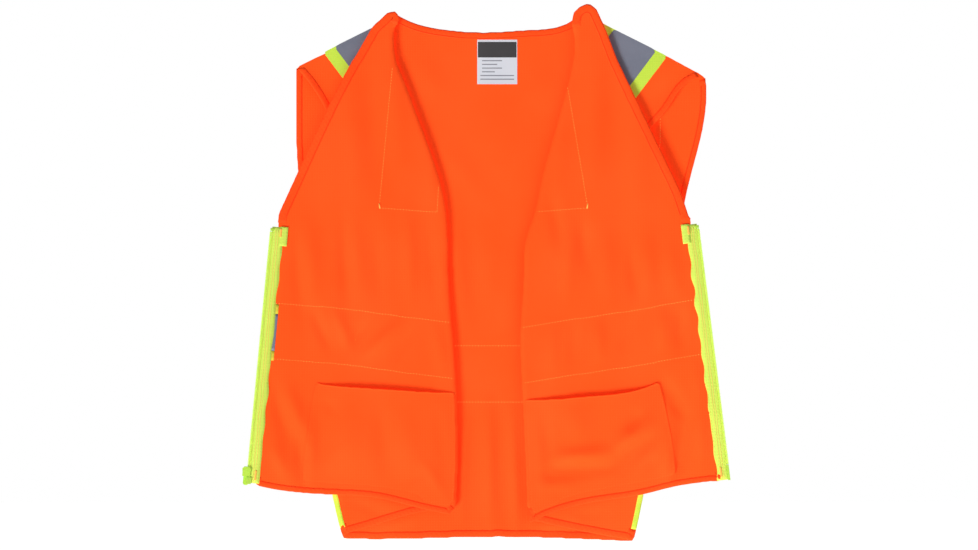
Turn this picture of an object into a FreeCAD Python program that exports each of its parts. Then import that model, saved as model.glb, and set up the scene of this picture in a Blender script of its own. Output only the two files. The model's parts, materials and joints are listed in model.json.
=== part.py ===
import FreeCAD, Part
import math
import os

from FreeCAD import Vector

# A sleeveless safety vest with a separating front zip, laid out flat with both fronts turned
# open, so that every cloth layer lies parallel to the X-Z plane.
#
# +Z runs up the wearer's back, +X to the wearer's left, +Y out of the wearer's back.
# The origin is the centre of the back neckline, on the outer face of the back panel.
# Pattern points are written as (distance from the centre-back line, height above the hem level).
# A depth is measured from the back panel's outer face towards the inside of the vest, along -Y.

NECK_HEIGHT = 691.0        # centre-back neckline above the hem level

CLOTH = 1.0                # shell fabric, with its hidden seam allowances
LIME = 0.5                 # fluorescent background trim
SILVER = 0.4               # reflective tape
BINDING = 2.0              # folded edge binding, through its thickness
SMALLEST_PIECE = 60.0      # trimmed-off slivers below this area are thrown away
SILVER_WIDTH = 50.0
STRIPE_LEAN = math.radians(37)         # shoulder stripes, from the vertical
SHOULDER_SLOPE = math.radians(28)
LIME_WIDTH = 76.0

BACK_DEPTH = 0.0           # the three cloth layers, each measured at its rear face
UNDER_DEPTH = 5.0
FRONT_DEPTH = 13.0

WAIST_LOW = 193.0          # the reflective band round the body, on the back panel
WAIST_HIGH = WAIST_LOW + LIME_WIDTH

SHOULDER_GAP = 8.0         # strap cloth stops this far outside the side-fold axis
SIDE_GAP = 5.0             # side panel cloth stops this far inside the side-fold axis
FRONT_GAP = 5.0            # at the hem, cloth stops this far from the front-fold axes
FOLD_SPREAD = 14.0         # and this much further at the apex, where the axes leave the cloth
TRIM_GAP = 9.0             # trim stops this far from the fold axes, before the same spread
ROLL_WIDTH = 1.0           # thickness of the roll's closed edge
APEX_TOP = 655.0           # moving cloth starts below the point where the fold axes meet
SIDE_TOP = 590.0

TAPE_WIDTH = 17.0
TAPE_THICK = 0.8
COIL_WIDTH = 3.0
COIL_THICK = 2.4
ZIP_DEPTH = FRONT_DEPTH + CLOTH / 2    # middle of the zip's thickness
ZIP_HALF_GAP = 1.0         # each coil stops this far from the closing plane
COIL_START = 20.0          # the coil begins above the box pin

POCKET_DEEP = 9.0          # room and wall of an inner pocket, in front of the panel
POCKET_SIDE_GAP = 31.0     # pocket edge to the front-fold axes, before the same spread
HEM_BINDING = 11.0
ARMHOLE_BINDING = 8.0
NECK_BINDING = 8.0

# The wearer's right side, then the left. Every x is the distance from the centre-back line.
RIGHT = {
    "name": "right",
    "sign": -1,
    "apex": (129.7, 705.0),
    "side_fold_hem": (209.7, 8.0),
    "front_fold_hem": (44.0, 40.0),
    "zip_top": (292.0, 430.0),
    "zip_bottom": (325.0, 85.0),
    "shoulder": [(140, 706), (154, 699), (258, 645)],
    "strap_armhole": [(258, 645), (217, 586), (203, 530), (212, 480), (246, 445)],
    "back_armhole": [(258, 645), (258, 600), (255, 505), (246, 445)],
    "side_edge": [(246, 445), (222, 250), (208, 66), (194, 9.6)],
    "vneck": [(180, 655), (216, 586), (255, 502), (283, 441)],
    "front_hem": [(49, 43), (106, 55), (149, 65), (200, 69), (251, 72), (325, 86)],
    "side_hem": [(203, 14), (149, 29), (97, 44), (49, 51)],
    "roll": [(99, 590), (82, 545), (58, 463), (53, 365), (46, 268), (42, 197), (41, 98), (43.5, 50)],
    "pocket_mouth": [(70, 203), (92, 204), (188, 214), (231, 220)],
    "pocket_side": [(231, 220), (238, 183), (249, 87)],
    "pocket_hem": [(249, 87), (200, 83), (149, 79), (60, 63)],
    "waist_side": [(215, 193), (48, 229)],
    "waist_front": [(44, 227), (92, 230), (188, 243), (234, 247), (320, 254)],
    "chest_edge": [(136, 567), (147, 452)],
    "chest_tops": (545, 510),
    "stripe_on_shoulder": 178.0,
}
LEFT = {
    "name": "left",
    "sign": 1,
    "apex": (121.6, 705.0),
    "side_fold_hem": (215.4, 8.0),
    "front_fold_hem": (52.0, 36.0),
    "zip_top": (284.0, 434.0),
    "zip_bottom": (327.0, 89.6),
    "shoulder": [(131, 716), (163, 700), (293, 633)],
    "strap_armhole": [(293, 633), (262, 618), (240, 586), (216, 558), (207, 500), (225, 460), (262, 440)],
    "back_armhole": [(293, 633), (289, 560), (277, 512), (262, 440)],
    "side_edge": [(262, 440), (232, 250), (209, 66), (196, 6)],
    "vneck": [(173, 656), (195, 610), (240, 516), (257, 480), (270, 442)],
    "front_hem": [(57, 30), (103, 50), (160, 62), (206, 69), (246, 79), (288, 86), (327, 90)],
    "side_hem": [(209, 6), (194, 8), (126, 20), (57, 35)],
    "roll": [(100, 590), (91, 558), (74, 497), (64, 451), (52, 413), (49, 358), (45, 297), (47, 212),
             (51, 126), (54, 50)],
    "pocket_mouth": [(70, 198), (132, 201), (206, 211), (230, 221)],
    "pocket_side": [(230, 221), (240, 183), (253, 96)],
    "pocket_hem": [(253, 96), (206, 85), (160, 77), (60, 57)],
    "waist_side": [(223, 190), (45, 223)],
    "waist_front": [(45, 219), (92, 226), (206, 243), (246, 250), (325, 262)],
    "chest_edge": [(121, 543), (136, 452)],
    "chest_tops": (520, 480),
    "stripe_on_shoulder": 199.0,
}
SIDES = (RIGHT, LEFT)


# ---------------------------------------------------------------- flat pattern helpers

def on_pattern(point):
    """The point of a pattern, in the plane y = 0."""
    return Vector(point[0], 0, point[1] - NECK_HEIGHT)


def on_side(side, points):
    """One side's points, with that side's sign."""
    return [(side["sign"] * x, z) for x, z in points]


def curve_through(points):
    curve = Part.BSplineCurve()
    curve.interpolate([on_pattern(p) for p in points])
    return curve


def run_edge(points):
    """A straight edge for two points, a smooth one for more."""
    if len(points) == 2:
        return Part.makeLine(on_pattern(points[0]), on_pattern(points[1]))
    return curve_through(points).toShape()


def pattern(*runs):
    """A flat face bounded by the runs in order, with straight joins where two runs don't meet."""
    edges = []
    for index, run in enumerate(runs):
        edges.append(run_edge(run))
        following = runs[(index + 1) % len(runs)][0]
        if on_pattern(run[-1]).distanceToPoint(on_pattern(following)) > 1e-6:
            edges.append(run_edge([run[-1], following]))
    return Part.Face(Part.Wire(edges))


def offset_run(points, distance, samples=12):
    """Points beside a run: positive distances lie on the left of its direction of travel."""
    if len(points) == 2:
        curve = Part.LineSegment(on_pattern(points[0]), on_pattern(points[1]))
    else:
        curve = curve_through(points)
    beside = []
    for step in range(samples + 1):
        at = curve.FirstParameter + (curve.LastParameter - curve.FirstParameter) * step / samples
        here = curve.value(at)
        along = curve.tangent(at)[0]
        beside.append((here.x - along.z * distance, here.z + along.x * distance + NECK_HEIGHT))
    return beside


def edge_strip(points, width):
    """A flat strip along one side of a run."""
    return pattern(points, list(reversed(offset_run(points, width))))


def sheet(flat, depth, thickness):
    """Solids that stand on a flat pattern, from a depth to depth + thickness."""
    solids = []
    for face in flat.Faces:
        if face.Area < SMALLEST_PIECE:
            continue
        low = face.copy()
        low.translate(Vector(0, -depth, 0))
        solids.append(low.extrude(Vector(0, -thickness, 0)))
    return solids[0] if len(solids) == 1 else Part.Compound(solids)


def minus(flat, *others):
    for other in others:
        flat = flat.cut(other)
    return flat


# ---------------------------------------------------------------- fold axes and zip line

def axis_point(side, hem, height, gap=0.0):
    """Where a fold axis from the apex to its hem point is at a height, moved outwards by gap."""
    apex = side["apex"]
    share = (apex[1] - height) / (apex[1] - hem[1])
    return (apex[0] + share * (hem[0] - apex[0]) + gap, height)


def side_fold(side, height, gap=0.0):
    return axis_point(side, side["side_fold_hem"], height, gap)


def front_fold(side, height, gap):
    """A point beside the front-fold axes. Both axes run from the apex, midway between the under
    layer and the front, to the hem, in the middle of their own layers: so near the apex a layer
    swings further from its axis, and the gap has to widen with the height."""
    hem, apex = side["front_fold_hem"], side["apex"]
    rise = (height - hem[1]) / (apex[1] - hem[1])
    return axis_point(side, hem, height, gap + FOLD_SPREAD * rise)


def zip_length(side):
    (x0, z0), (x1, z1) = side["zip_bottom"], side["zip_top"]
    return math.hypot(x1 - x0, z1 - z0)


def on_zip(side, shape):
    """Moves a shape from zip space to its side: there z runs up the zip from its bottom end,
    x from the closing edge towards the panel, and y = 0 is the middle of the zip's thickness."""
    (x0, z0), (x1, z1) = side["zip_bottom"], side["zip_top"]
    placed = shape.copy()
    if side["sign"] > 0:
        placed = placed.mirror(Vector(0, 0, 0), Vector(1, 0, 0))
    lean = math.degrees(math.atan2(side["sign"] * (x1 - x0), z1 - z0))
    placed.rotate(Vector(0, 0, 0), Vector(0, 1, 0), lean)
    placed.translate(on_pattern((side["sign"] * x0, z0)) + Vector(0, -ZIP_DEPTH, 0))
    return placed


def block(x0, x1, y0, y1, z0, z1):
    return Part.makeBox(x1 - x0, y1 - y0, z1 - z0, Vector(x0, y0, z0))


def tape_zone(side):
    """The flat strip that the zip tape takes from the front panel, run on past both ends."""
    strip = block(-30, TAPE_WIDTH + 0.2, -0.5, 0.5, -60, zip_length(side))
    placed = on_zip(side, strip)
    placed.translate(Vector(0, ZIP_DEPTH, 0))
    return placed


# ---------------------------------------------------------------- back panel

def neckline():
    return [(-124, 716), (-100, 704), (-53, 694), (0, NECK_HEIGHT), (53, 694), (100, 700), (128, 720)]


def back_hem():
    return [(196, 6), (103, 10), (0, 12), (-100, 9.6), (-194, 9.6)]


def back_outline():
    right_shoulder = on_side(RIGHT, RIGHT["shoulder"][1:])
    left_shoulder = on_side(LEFT, LEFT["shoulder"][1:])
    return pattern(
        neckline(),
        left_shoulder,
        on_side(LEFT, LEFT["back_armhole"]),
        on_side(LEFT, LEFT["side_edge"]),
        back_hem(),
        list(reversed(on_side(RIGHT, RIGHT["side_edge"]))),
        list(reversed(on_side(RIGHT, RIGHT["back_armhole"]))),
        list(reversed(right_shoulder)),
    )


def back_bindings():
    """Flat patterns of the neck, hem and armhole bindings."""
    neck = edge_strip(neckline(), -NECK_BINDING)
    hem = edge_strip(back_hem(), -HEM_BINDING)
    right = edge_strip(on_side(RIGHT, RIGHT["back_armhole"]), ARMHOLE_BINDING)
    left = edge_strip(on_side(LEFT, LEFT["back_armhole"]), -ARMHOLE_BINDING)
    return neck, hem, Part.Compound([right, left])


def back_panel():
    neck, hem, armholes = back_bindings()
    return sheet(minus(back_outline(), neck, hem, armholes), BACK_DEPTH, CLOTH)


def bound_edge(flat, depth):
    """A binding, standing equally proud of both faces of its cloth layer."""
    return sheet(flat, depth - (BINDING - CLOTH) / 2, BINDING)


def waist_zone(inset):
    """The back's waist band, with inset taken off its upper and lower edges."""
    low, high = WAIST_LOW + inset, WAIST_HIGH - inset
    return pattern([(-300, low), (300, low)], [(300, high), (-300, high)]).common(back_outline())


def back_stripe_zone(width):
    """Both vertical stripes of the back, from the shoulders to the waist band."""
    stripes = []
    for side in SIDES:
        middle = side["stripe_on_shoulder"]
        hem_middle = middle - 10
        half = width / 2
        run = [(middle - half, 720), (middle + half, 720), (hem_middle + half, WAIST_HIGH),
               (hem_middle - half, WAIST_HIGH)]
        points = on_side(side, run)
        stripes.append(pattern(points[:2], points[2:]))
    neck, hem, armholes = back_bindings()
    return minus(Part.Compound(stripes).common(back_outline()), neck, armholes)


def back_trim():
    lime = (LIME_WIDTH - SILVER_WIDTH) / 2
    hidden = -LIME
    return {
        "back_waist_lime_band": sheet(waist_zone(0), hidden, LIME),
        "back_waist_silver_tape": sheet(waist_zone(lime), hidden - SILVER, SILVER),
        "back_lime_stripes": sheet(back_stripe_zone(LIME_WIDTH), hidden, LIME),
        "back_silver_stripes": sheet(back_stripe_zone(SILVER_WIDTH), hidden - SILVER, SILVER),
    }


def neck_label():
    """A blank woven label with a darker header, sewn inside the back neck."""
    x0, x1, z0, z1, header = -14, 40, 622, 682, 658
    body = pattern([(x0, z0), (x1, z0)], [(x1, z1), (x0, z1)])
    strip = pattern([(x0 + 1, header), (x1 - 1, header)], [(x1 - 1, z1 - 3), (x0 + 1, z1 - 3)])
    return {
        "neck_label": sheet(body, BACK_DEPTH + CLOTH, 0.4),
        "neck_label_header": sheet(strip, BACK_DEPTH + CLOTH + 0.4, 0.2),
    }


# ---------------------------------------------------------------- shoulder straps

def strap_outline(side):
    low = 120
    inner = [side_fold(side, low, SHOULDER_GAP), side_fold(side, 700, SHOULDER_GAP)]
    edge_low = (side["side_fold_hem"][0] + 3, low)
    return pattern(
        on_side(side, side["shoulder"]),
        on_side(side, side["strap_armhole"]),
        on_side(side, [side["strap_armhole"][-1], edge_low]),
        on_side(side, inner),
    )


def strap_binding(side):
    return edge_strip(on_side(side, side["strap_armhole"]), -side["sign"] * ARMHOLE_BINDING)


def shoulder_height(side, x):
    """The height of the straight shoulder seam at a distance from the centre-back."""
    (x0, z0), (x1, z1) = side["shoulder"][1:]
    return z0 + (x - x0) * (z1 - z0) / (x1 - x0)


def along_stripe(point, distance):
    """A point moved along a shoulder stripe's direction, up and outwards."""
    return (point[0] + distance * math.sin(STRIPE_LEAN), point[1] + distance * math.cos(STRIPE_LEAN))


def shoulder_stripe_zone(width):
    """The stripe that comes over each shoulder and leans in towards the chest."""
    stripes = []
    for side in SIDES:
        middle = side["stripe_on_shoulder"]
        half = width / 2 / math.cos(SHOULDER_SLOPE)
        seam = [(x, shoulder_height(side, x)) for x in (middle - half, middle + half)]
        top = [along_stripe(point, 20) for point in seam]
        low = [along_stripe(point, -150) for point in reversed(seam)]
        stripe = pattern(on_side(side, top), on_side(side, low)).common(strap_outline(side))
        fold = [side_fold(side, 500), side_fold(side, 720), (0, 720), (0, 500)]
        clear = [(x + (TRIM_GAP + 3 if x else 0), z) for x, z in fold]
        points = on_side(side, clear)
        stripes.append(minus(stripe, strap_binding(side), pattern(points[:2], points[2:])))
    return Part.Compound(stripes)


# ---------------------------------------------------------------- side panels, under the fronts

def side_outline(side):
    outer = [side_fold(side, 16, -SIDE_GAP), side_fold(side, SIDE_TOP, -SIDE_GAP)]
    inner = [front_fold(side, SIDE_TOP, FRONT_GAP), front_fold(side, 45, FRONT_GAP)]
    hem = list(reversed(side["side_hem"]))
    inner[1] = (inner[1][0], hem[0][1])
    outer[0] = (outer[0][0], hem[-1][1])
    hem[0] = inner[1]
    hem[-1] = outer[0]
    return pattern(on_side(side, outer), on_side(side, inner), on_side(side, hem))


def side_hem_binding(side):
    hem = on_side(side, list(reversed(side["side_hem"])))
    return edge_strip(hem, side["sign"] * HEM_BINDING).common(side_outline(side))


def band_zone(side, low_run, height, inset, outline):
    """A band above a run, clipped to an outline that has been drawn clear of the fold axes."""
    low = [(x, z + inset) for x, z in low_run]
    high = [(x, z + height - inset) for x, z in reversed(low_run)]
    return pattern(on_side(side, low), on_side(side, high)).common(outline)


def side_trim_outline(side):
    outer = [side_fold(side, 100, -TRIM_GAP), side_fold(side, 400, -TRIM_GAP)]
    inner = [front_fold(side, 400, TRIM_GAP), front_fold(side, 100, TRIM_GAP)]
    return pattern(on_side(side, outer), on_side(side, inner))


def side_panel(side):
    name = side["name"]
    inset = (LIME_WIDTH - SILVER_WIDTH) / 2
    hem = side_hem_binding(side)
    outline = side_trim_outline(side)
    lime = band_zone(side, side["waist_side"], LIME_WIDTH, 0, outline)
    silver = band_zone(side, side["waist_side"], LIME_WIDTH, inset, outline)
    face = UNDER_DEPTH + CLOTH
    return {
        name + "_side_panel": sheet(minus(side_outline(side), hem), UNDER_DEPTH, CLOTH),
        name + "_side_hem_binding": bound_edge(hem, UNDER_DEPTH),
        name + "_side_lime_band": sheet(lime, face, LIME),
        name + "_side_silver_tape": sheet(silver, face + LIME, SILVER),
    }


def rolled_fold(side):
    """The cloth that rolls over between a side panel and its turned-over front: a thin channel
    with its closed edge along the roll, and its two layers reaching back to the fold axes."""
    roll = side["roll"]
    top, low = roll[0][1], roll[-1][1]
    fold = [front_fold(side, z, FRONT_GAP - 1.0) for z in (low, top)]
    layer = pattern(on_side(side, roll), on_side(side, fold))
    edge = edge_strip(on_side(side, roll), side["sign"] * ROLL_WIDTH)
    wall = sheet(edge, UNDER_DEPTH, FRONT_DEPTH + CLOTH - UNDER_DEPTH)
    under = sheet(layer, UNDER_DEPTH, CLOTH)
    upper = sheet(layer, FRONT_DEPTH, CLOTH)
    return wall.fuse([under, upper]).removeSplitter()


# ---------------------------------------------------------------- front panels, lying inside out

def front_outline(side):
    hem = list(side["front_hem"])
    fold = [front_fold(side, hem[0][1], FRONT_GAP), front_fold(side, APEX_TOP, FRONT_GAP)]
    hem[0] = fold[0]
    return pattern(
        on_side(side, fold),
        on_side(side, side["vneck"]),
        on_side(side, [side["zip_top"], side["zip_bottom"]]),
        on_side(side, list(reversed(hem))),
    )


def front_bindings(side):
    sign = side["sign"]
    zone = tape_zone(side)
    outline = front_outline(side)
    vneck = minus(edge_strip(on_side(side, side["vneck"]), -sign * HEM_BINDING).common(outline), zone)
    hem = minus(edge_strip(on_side(side, side["front_hem"]), sign * HEM_BINDING).common(outline), zone)
    return vneck, hem


def chest_zone(side, inset, top):
    """The chest trim between its stitched edge and the front fold, on the outer face."""
    (x_top, z_top), (x_low, z_low) = side["chest_edge"]
    slope = (x_top - x_low) / (z_top - z_low)
    edge = [(x_low + slope * (z - z_low) - inset, z) for z in (top, z_low)]
    fold = [front_fold(side, z, FRONT_GAP + 1) for z in (z_low, top)]
    return pattern(on_side(side, edge), on_side(side, fold))


def front_trim(side):
    """The trim on the front's outer face, which lies underneath while the front is turned over."""
    name = side["name"]
    inset = (LIME_WIDTH - SILVER_WIDTH) / 2
    face = FRONT_DEPTH
    hem_clear = [front_fold(side, 100, TRIM_GAP), front_fold(side, 420, TRIM_GAP)]
    top, low = side["zip_top"], side["zip_bottom"]
    clip = pattern(on_side(side, hem_clear), on_side(side, [top, low])).cut(tape_zone(side))
    lime = band_zone(side, side["waist_front"], LIME_WIDTH, 0, clip)
    silver = band_zone(side, side["waist_front"], LIME_WIDTH, inset, clip)
    patch = 0.8
    lime_top, silver_top = side["chest_tops"]
    return {
        name + "_front_lime_band": sheet(lime, face - LIME, LIME),
        name + "_front_silver_tape": sheet(silver, face - LIME - SILVER, SILVER),
        name + "_chest_pocket": sheet(chest_zone(side, 0, lime_top), face - patch, patch),
        name + "_chest_lime_stripe": sheet(chest_zone(side, 1.5, lime_top),
                                           face - patch - LIME, LIME),
        name + "_chest_silver_stripe": sheet(chest_zone(side, inset, silver_top),
                                             face - patch - LIME - SILVER, SILVER),
    }


def pocket_zone(side, inset, mouth_rise):
    """An inner pocket's outline, with its closed edges moved in and its mouth moved up."""
    mouth = [(x, z + mouth_rise) for x, z in side["pocket_mouth"]]
    hem = [(x, z + inset) for x, z in side["pocket_hem"]]
    mouth[0] = front_fold(side, mouth[0][1], POCKET_SIDE_GAP + inset)
    hem[-1] = front_fold(side, hem[-1][1], POCKET_SIDE_GAP + inset)
    mouth[-1] = (mouth[-1][0] - inset, mouth[-1][1])
    hem[0] = (hem[0][0] - inset, hem[0][1])
    edge = [(x - inset, z) for x, z in side["pocket_side"]]
    edge[0] = mouth[-1]
    edge[-1] = hem[0]
    fold = [hem[-1], mouth[0]]
    return pattern(*[on_side(side, run) for run in (mouth, edge, hem, fold)])


def inner_pocket(side):
    """A patch pocket on the inside of the front, standing open at the top."""
    wall = 2.0
    pouch = sheet(pocket_zone(side, 0, 0), FRONT_DEPTH + CLOTH, POCKET_DEEP)
    room = sheet(pocket_zone(side, wall, 15), FRONT_DEPTH + CLOTH, POCKET_DEEP - CLOTH)
    return pouch.cut(room)


def front_panel(side):
    name = side["name"]
    vneck, hem = front_bindings(side)
    cloth = minus(front_outline(side), vneck, hem, tape_zone(side))
    parts = {
        name + "_front_panel": sheet(cloth, FRONT_DEPTH, CLOTH),
        name + "_vneck_binding": bound_edge(vneck, FRONT_DEPTH),
        name + "_front_hem_binding": bound_edge(hem, FRONT_DEPTH),
        name + "_front_fold": rolled_fold(side),
        name + "_inner_pocket": inner_pocket(side),
    }
    parts.update(front_trim(side))
    return parts


# ---------------------------------------------------------------- zip

SLIDER_LENGTH = 13.0
SLIDER_TOP_WIDTH = 11.6
SLIDER_LOW_WIDTH = 10.4
SLIDER_START = 15.0        # slider middle above the zip's bottom end, at rest
PLATE = 1.0
CHANNEL_HALF = 1.95
TAPE_SLOT_HALF = 1.4
RIM = 0.8
DIVIDER_WIDTH = 1.2
PIVOT_RADIUS = 0.8
PIVOT_Y = CHANNEL_HALF + PLATE + 1.3
PIVOT_Z = SLIDER_START + 1.5
TAB_LENGTH = 20.0
TAB_WIDTH = 7.6


def zip_tape(side):
    half = TAPE_THICK / 2
    return block(COIL_WIDTH, TAPE_WIDTH, -half, half, 0, zip_length(side))


def zip_coil(side):
    half = COIL_THICK / 2
    return block(0, COIL_WIDTH, -half, half, COIL_START, zip_length(side) - 6)


def top_stop(side):
    top = zip_length(side) - 2
    clamp = block(0, COIL_WIDTH + 1.6, -1.6, 1.6, top - 4, top)
    clamp = clamp.makeFillet(0.5, clamp.Edges)
    return clamp.cut(zip_tape(side))


def tape_tail(side):
    """The upper end of the tape, folded back on itself."""
    top = zip_length(side)
    rear = TAPE_THICK / 2 + 0.1
    return block(TAPE_WIDTH - 7, TAPE_WIDTH, -rear - TAPE_THICK, -rear, top - 25, top - 0.5)


def shield(width_top, width_low, length, y0, y1):
    """A slider plate: a shield shape, wider at the end where the coils part."""
    half = length / 2
    top = width_top / 2
    low = width_low / 2
    shoulder = half - 2.5
    points = [(-low, -half), (low, -half), (low, -1), (top, shoulder), (top - 2.5, half),
              (2.5 - top, half), (-top, shoulder), (-low, -1), (-low, -half)]
    wire = Part.makePolygon([Vector(x, y0, z) for x, z in points])
    plate = Part.Face(wire).extrude(Vector(0, y1 - y0, 0))
    upright = [e for e in plate.Edges if abs(e.Vertexes[0].Y - e.Vertexes[1].Y) > 1e-6]
    return plate.makeFillet(0.8, upright)


def slider_body():
    outer = CHANNEL_HALF + PLATE
    front = shield(SLIDER_TOP_WIDTH, SLIDER_LOW_WIDTH, SLIDER_LENGTH, CHANNEL_HALF, outer)
    rear = shield(SLIDER_TOP_WIDTH, SLIDER_LOW_WIDTH, SLIDER_LENGTH, -outer, -CHANNEL_HALF)
    body = front.fuse(rear)
    half = SLIDER_LENGTH / 2
    rim_out = SLIDER_LOW_WIDTH / 2
    for sign in (-1, 1):
        edges = sorted((sign * rim_out, sign * (rim_out - RIM)))
        for low, high in ((TAPE_SLOT_HALF, CHANNEL_HALF + 0.1), (-CHANNEL_HALF - 0.1, -TAPE_SLOT_HALF)):
            body = body.fuse(block(edges[0], edges[1], low, high, -half + 0.8, half - 3))
    divider = block(-DIVIDER_WIDTH / 2, DIVIDER_WIDTH / 2, -CHANNEL_HALF - 0.1, CHANNEL_HALF + 0.1,
                    half - 4, half - 0.8)
    body = body.fuse(divider).fuse(slider_bridge(outer))
    body = body.removeSplitter()
    body.translate(Vector(-ZIP_HALF_GAP, 0, SLIDER_START))
    return body


def slider_bridge(outer):
    """The arch over the pull tab's pivot bar, on the outer face of the slider."""
    half = 0.9
    beam_low = PIVOT_Y + PIVOT_RADIUS + 0.3
    beam_high = beam_low + 1.0
    low_leg = block(-half, half, outer - 0.1, beam_high, -1.8, -0.6)
    high_leg = block(-half, half, outer - 0.1, beam_high, 3.6, 4.8)
    beam = block(-half, half, beam_low, beam_high, -1.8, 4.8)
    arch = low_leg.fuse(high_leg).fuse(beam)
    rounded = [e for e in arch.Edges if abs(e.BoundBox.YMin - beam_high) < 1e-6
               and e.BoundBox.XLength > 1]
    return arch.makeFillet(0.6, rounded)


def pull_tab():
    """A pressed tab that hangs from a round bar under the bridge."""
    half = TAB_WIDTH / 2
    bar = Part.makeCylinder(PIVOT_RADIUS, TAB_WIDTH - 1.6, Vector(-half + 0.8, 0, 0), Vector(1, 0, 0))
    arm = 2.0
    plate = block(-half, half, -PIVOT_RADIUS, PIVOT_RADIUS, -TAB_LENGTH, 0)
    window = block(-half + arm, half - arm, -2, 2, -6.5, 2)
    plate = plate.cut(window)
    upper = [e for e in plate.Edges if e.BoundBox.ZMax > -0.01 and e.BoundBox.ZLength < 0.01
             and e.BoundBox.YLength < 0.01]
    plate = plate.makeFillet(PIVOT_RADIUS - 0.05, upper)
    corners = [e for e in plate.Edges if e.BoundBox.ZMax < -TAB_LENGTH + 0.01
               and e.BoundBox.YLength > 1]
    plate = plate.makeFillet(3.0, corners)
    tab = plate.fuse(bar).removeSplitter()
    tab.translate(Vector(-ZIP_HALF_GAP, PIVOT_Y, PIVOT_Z))
    return tab


def retainer_box(side):
    """The box at the bottom of the zip that the insertion pin stands in."""
    box = block(-ZIP_HALF_GAP + 0.3, 6.5, -2.5, 2.5, -1.5, 7.5)
    upright = [e for e in box.Edges if e.BoundBox.YLength > 4 and e.BoundBox.XMin > 6]
    box = box.makeFillet(1.5, upright)
    return box.cut(zip_tape(side)).cut(box_pin(0.0))


def box_pin(foot):
    """The fixed pin along the closing edge, from inside the box up to the first coil turn."""
    return block(0, COIL_WIDTH, -1.1, 1.1, foot, COIL_START)


def zip_parts():
    parts = {}
    for side in SIDES:
        name = side["name"]
        parts[name + "_zip_tape"] = on_zip(side, zip_tape(side))
        parts[name + "_zip_coil"] = on_zip(side, zip_coil(side))
        parts[name + "_top_stop"] = on_zip(side, top_stop(side))
        parts[name + "_tape_tail"] = on_zip(side, tape_tail(side))
    parts["retainer_box"] = on_zip(RIGHT, retainer_box(RIGHT))
    parts["box_pin"] = on_zip(RIGHT, box_pin(0.0))
    parts["insertion_pin"] = on_zip(LEFT, box_pin(-1.0))
    parts["slider_body"] = on_zip(RIGHT, slider_body())
    parts["pull_tab"] = on_zip(RIGHT, pull_tab())
    return parts


# ---------------------------------------------------------------- the whole vest

def vest():
    neck, hem, armholes = back_bindings()
    parts = {
        "back_panel": back_panel(),
        "neck_binding": bound_edge(neck, BACK_DEPTH),
        "back_hem_binding": bound_edge(hem, BACK_DEPTH),
        "back_armhole_bindings": bound_edge(minus(armholes, neck), BACK_DEPTH),
    }
    parts.update(back_trim())
    parts.update(neck_label())
    strap_edges = []
    for side in SIDES:
        binding = strap_binding(side)
        cloth = minus(strap_outline(side), binding)
        parts[side["name"] + "_shoulder_strap"] = sheet(cloth, UNDER_DEPTH, CLOTH)
        strap_edges.append(binding)
    parts["strap_armhole_bindings"] = bound_edge(Part.Compound(strap_edges), UNDER_DEPTH)
    face = UNDER_DEPTH + CLOTH
    parts["shoulder_lime_stripes"] = sheet(shoulder_stripe_zone(LIME_WIDTH), face, LIME)
    parts["shoulder_silver_stripes"] = sheet(shoulder_stripe_zone(SILVER_WIDTH), face + LIME, SILVER)
    for side in SIDES:
        parts.update(side_panel(side))
        parts.update(front_panel(side))
    parts.update(zip_parts())
    return parts


os.makedirs("parts", exist_ok=True)
for node, shape in vest().items():
    shape.exportStep("parts/" + node + ".step")
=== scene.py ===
import json
import math

import bpy
import numpy as np
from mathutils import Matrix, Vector, geometry
from mathutils.bvhtree import BVHTree


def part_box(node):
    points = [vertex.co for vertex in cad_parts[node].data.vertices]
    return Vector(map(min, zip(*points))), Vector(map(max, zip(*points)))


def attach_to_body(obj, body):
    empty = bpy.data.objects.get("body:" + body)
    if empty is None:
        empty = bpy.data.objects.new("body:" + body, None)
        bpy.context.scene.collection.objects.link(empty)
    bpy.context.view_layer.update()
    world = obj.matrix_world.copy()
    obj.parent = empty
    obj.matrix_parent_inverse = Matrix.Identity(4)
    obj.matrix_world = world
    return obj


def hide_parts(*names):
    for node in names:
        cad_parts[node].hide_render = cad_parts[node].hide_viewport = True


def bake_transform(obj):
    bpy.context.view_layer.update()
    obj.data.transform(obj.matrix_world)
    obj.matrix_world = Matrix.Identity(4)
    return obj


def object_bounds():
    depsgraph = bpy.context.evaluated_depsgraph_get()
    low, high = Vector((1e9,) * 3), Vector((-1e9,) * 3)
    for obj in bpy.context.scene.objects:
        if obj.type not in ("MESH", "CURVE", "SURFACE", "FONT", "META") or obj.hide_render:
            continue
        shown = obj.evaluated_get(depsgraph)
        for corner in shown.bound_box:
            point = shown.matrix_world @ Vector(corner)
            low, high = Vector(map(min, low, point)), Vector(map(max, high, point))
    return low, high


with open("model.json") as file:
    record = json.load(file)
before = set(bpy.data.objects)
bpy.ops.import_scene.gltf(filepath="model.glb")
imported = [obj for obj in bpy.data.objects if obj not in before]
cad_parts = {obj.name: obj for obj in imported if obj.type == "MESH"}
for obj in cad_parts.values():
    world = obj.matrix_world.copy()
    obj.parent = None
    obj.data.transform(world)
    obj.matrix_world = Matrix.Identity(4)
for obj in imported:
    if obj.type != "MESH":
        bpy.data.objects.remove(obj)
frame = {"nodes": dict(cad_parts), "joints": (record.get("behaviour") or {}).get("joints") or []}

# The vest lies open and upright: X to the wearer's left, Y out of the back, Z up, in metres.
# Every cloth layer is cut flat in the X-Z plane from the outline of its CAD nodes, given folds,
# and thickened; the back, the fronts and the inner pockets are also relaxed as cloth. Trim,
# bindings and seams are laid out in the same flat space and lifted on to the cloth, so that they
# follow its folds; the zip tapes are laid out there at set depths.

CAD_BOX = [list(corner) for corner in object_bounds()]
MM = 0.001
SIGN = {"right": -1, "left": 1}
SCENE = bpy.context.scene

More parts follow.
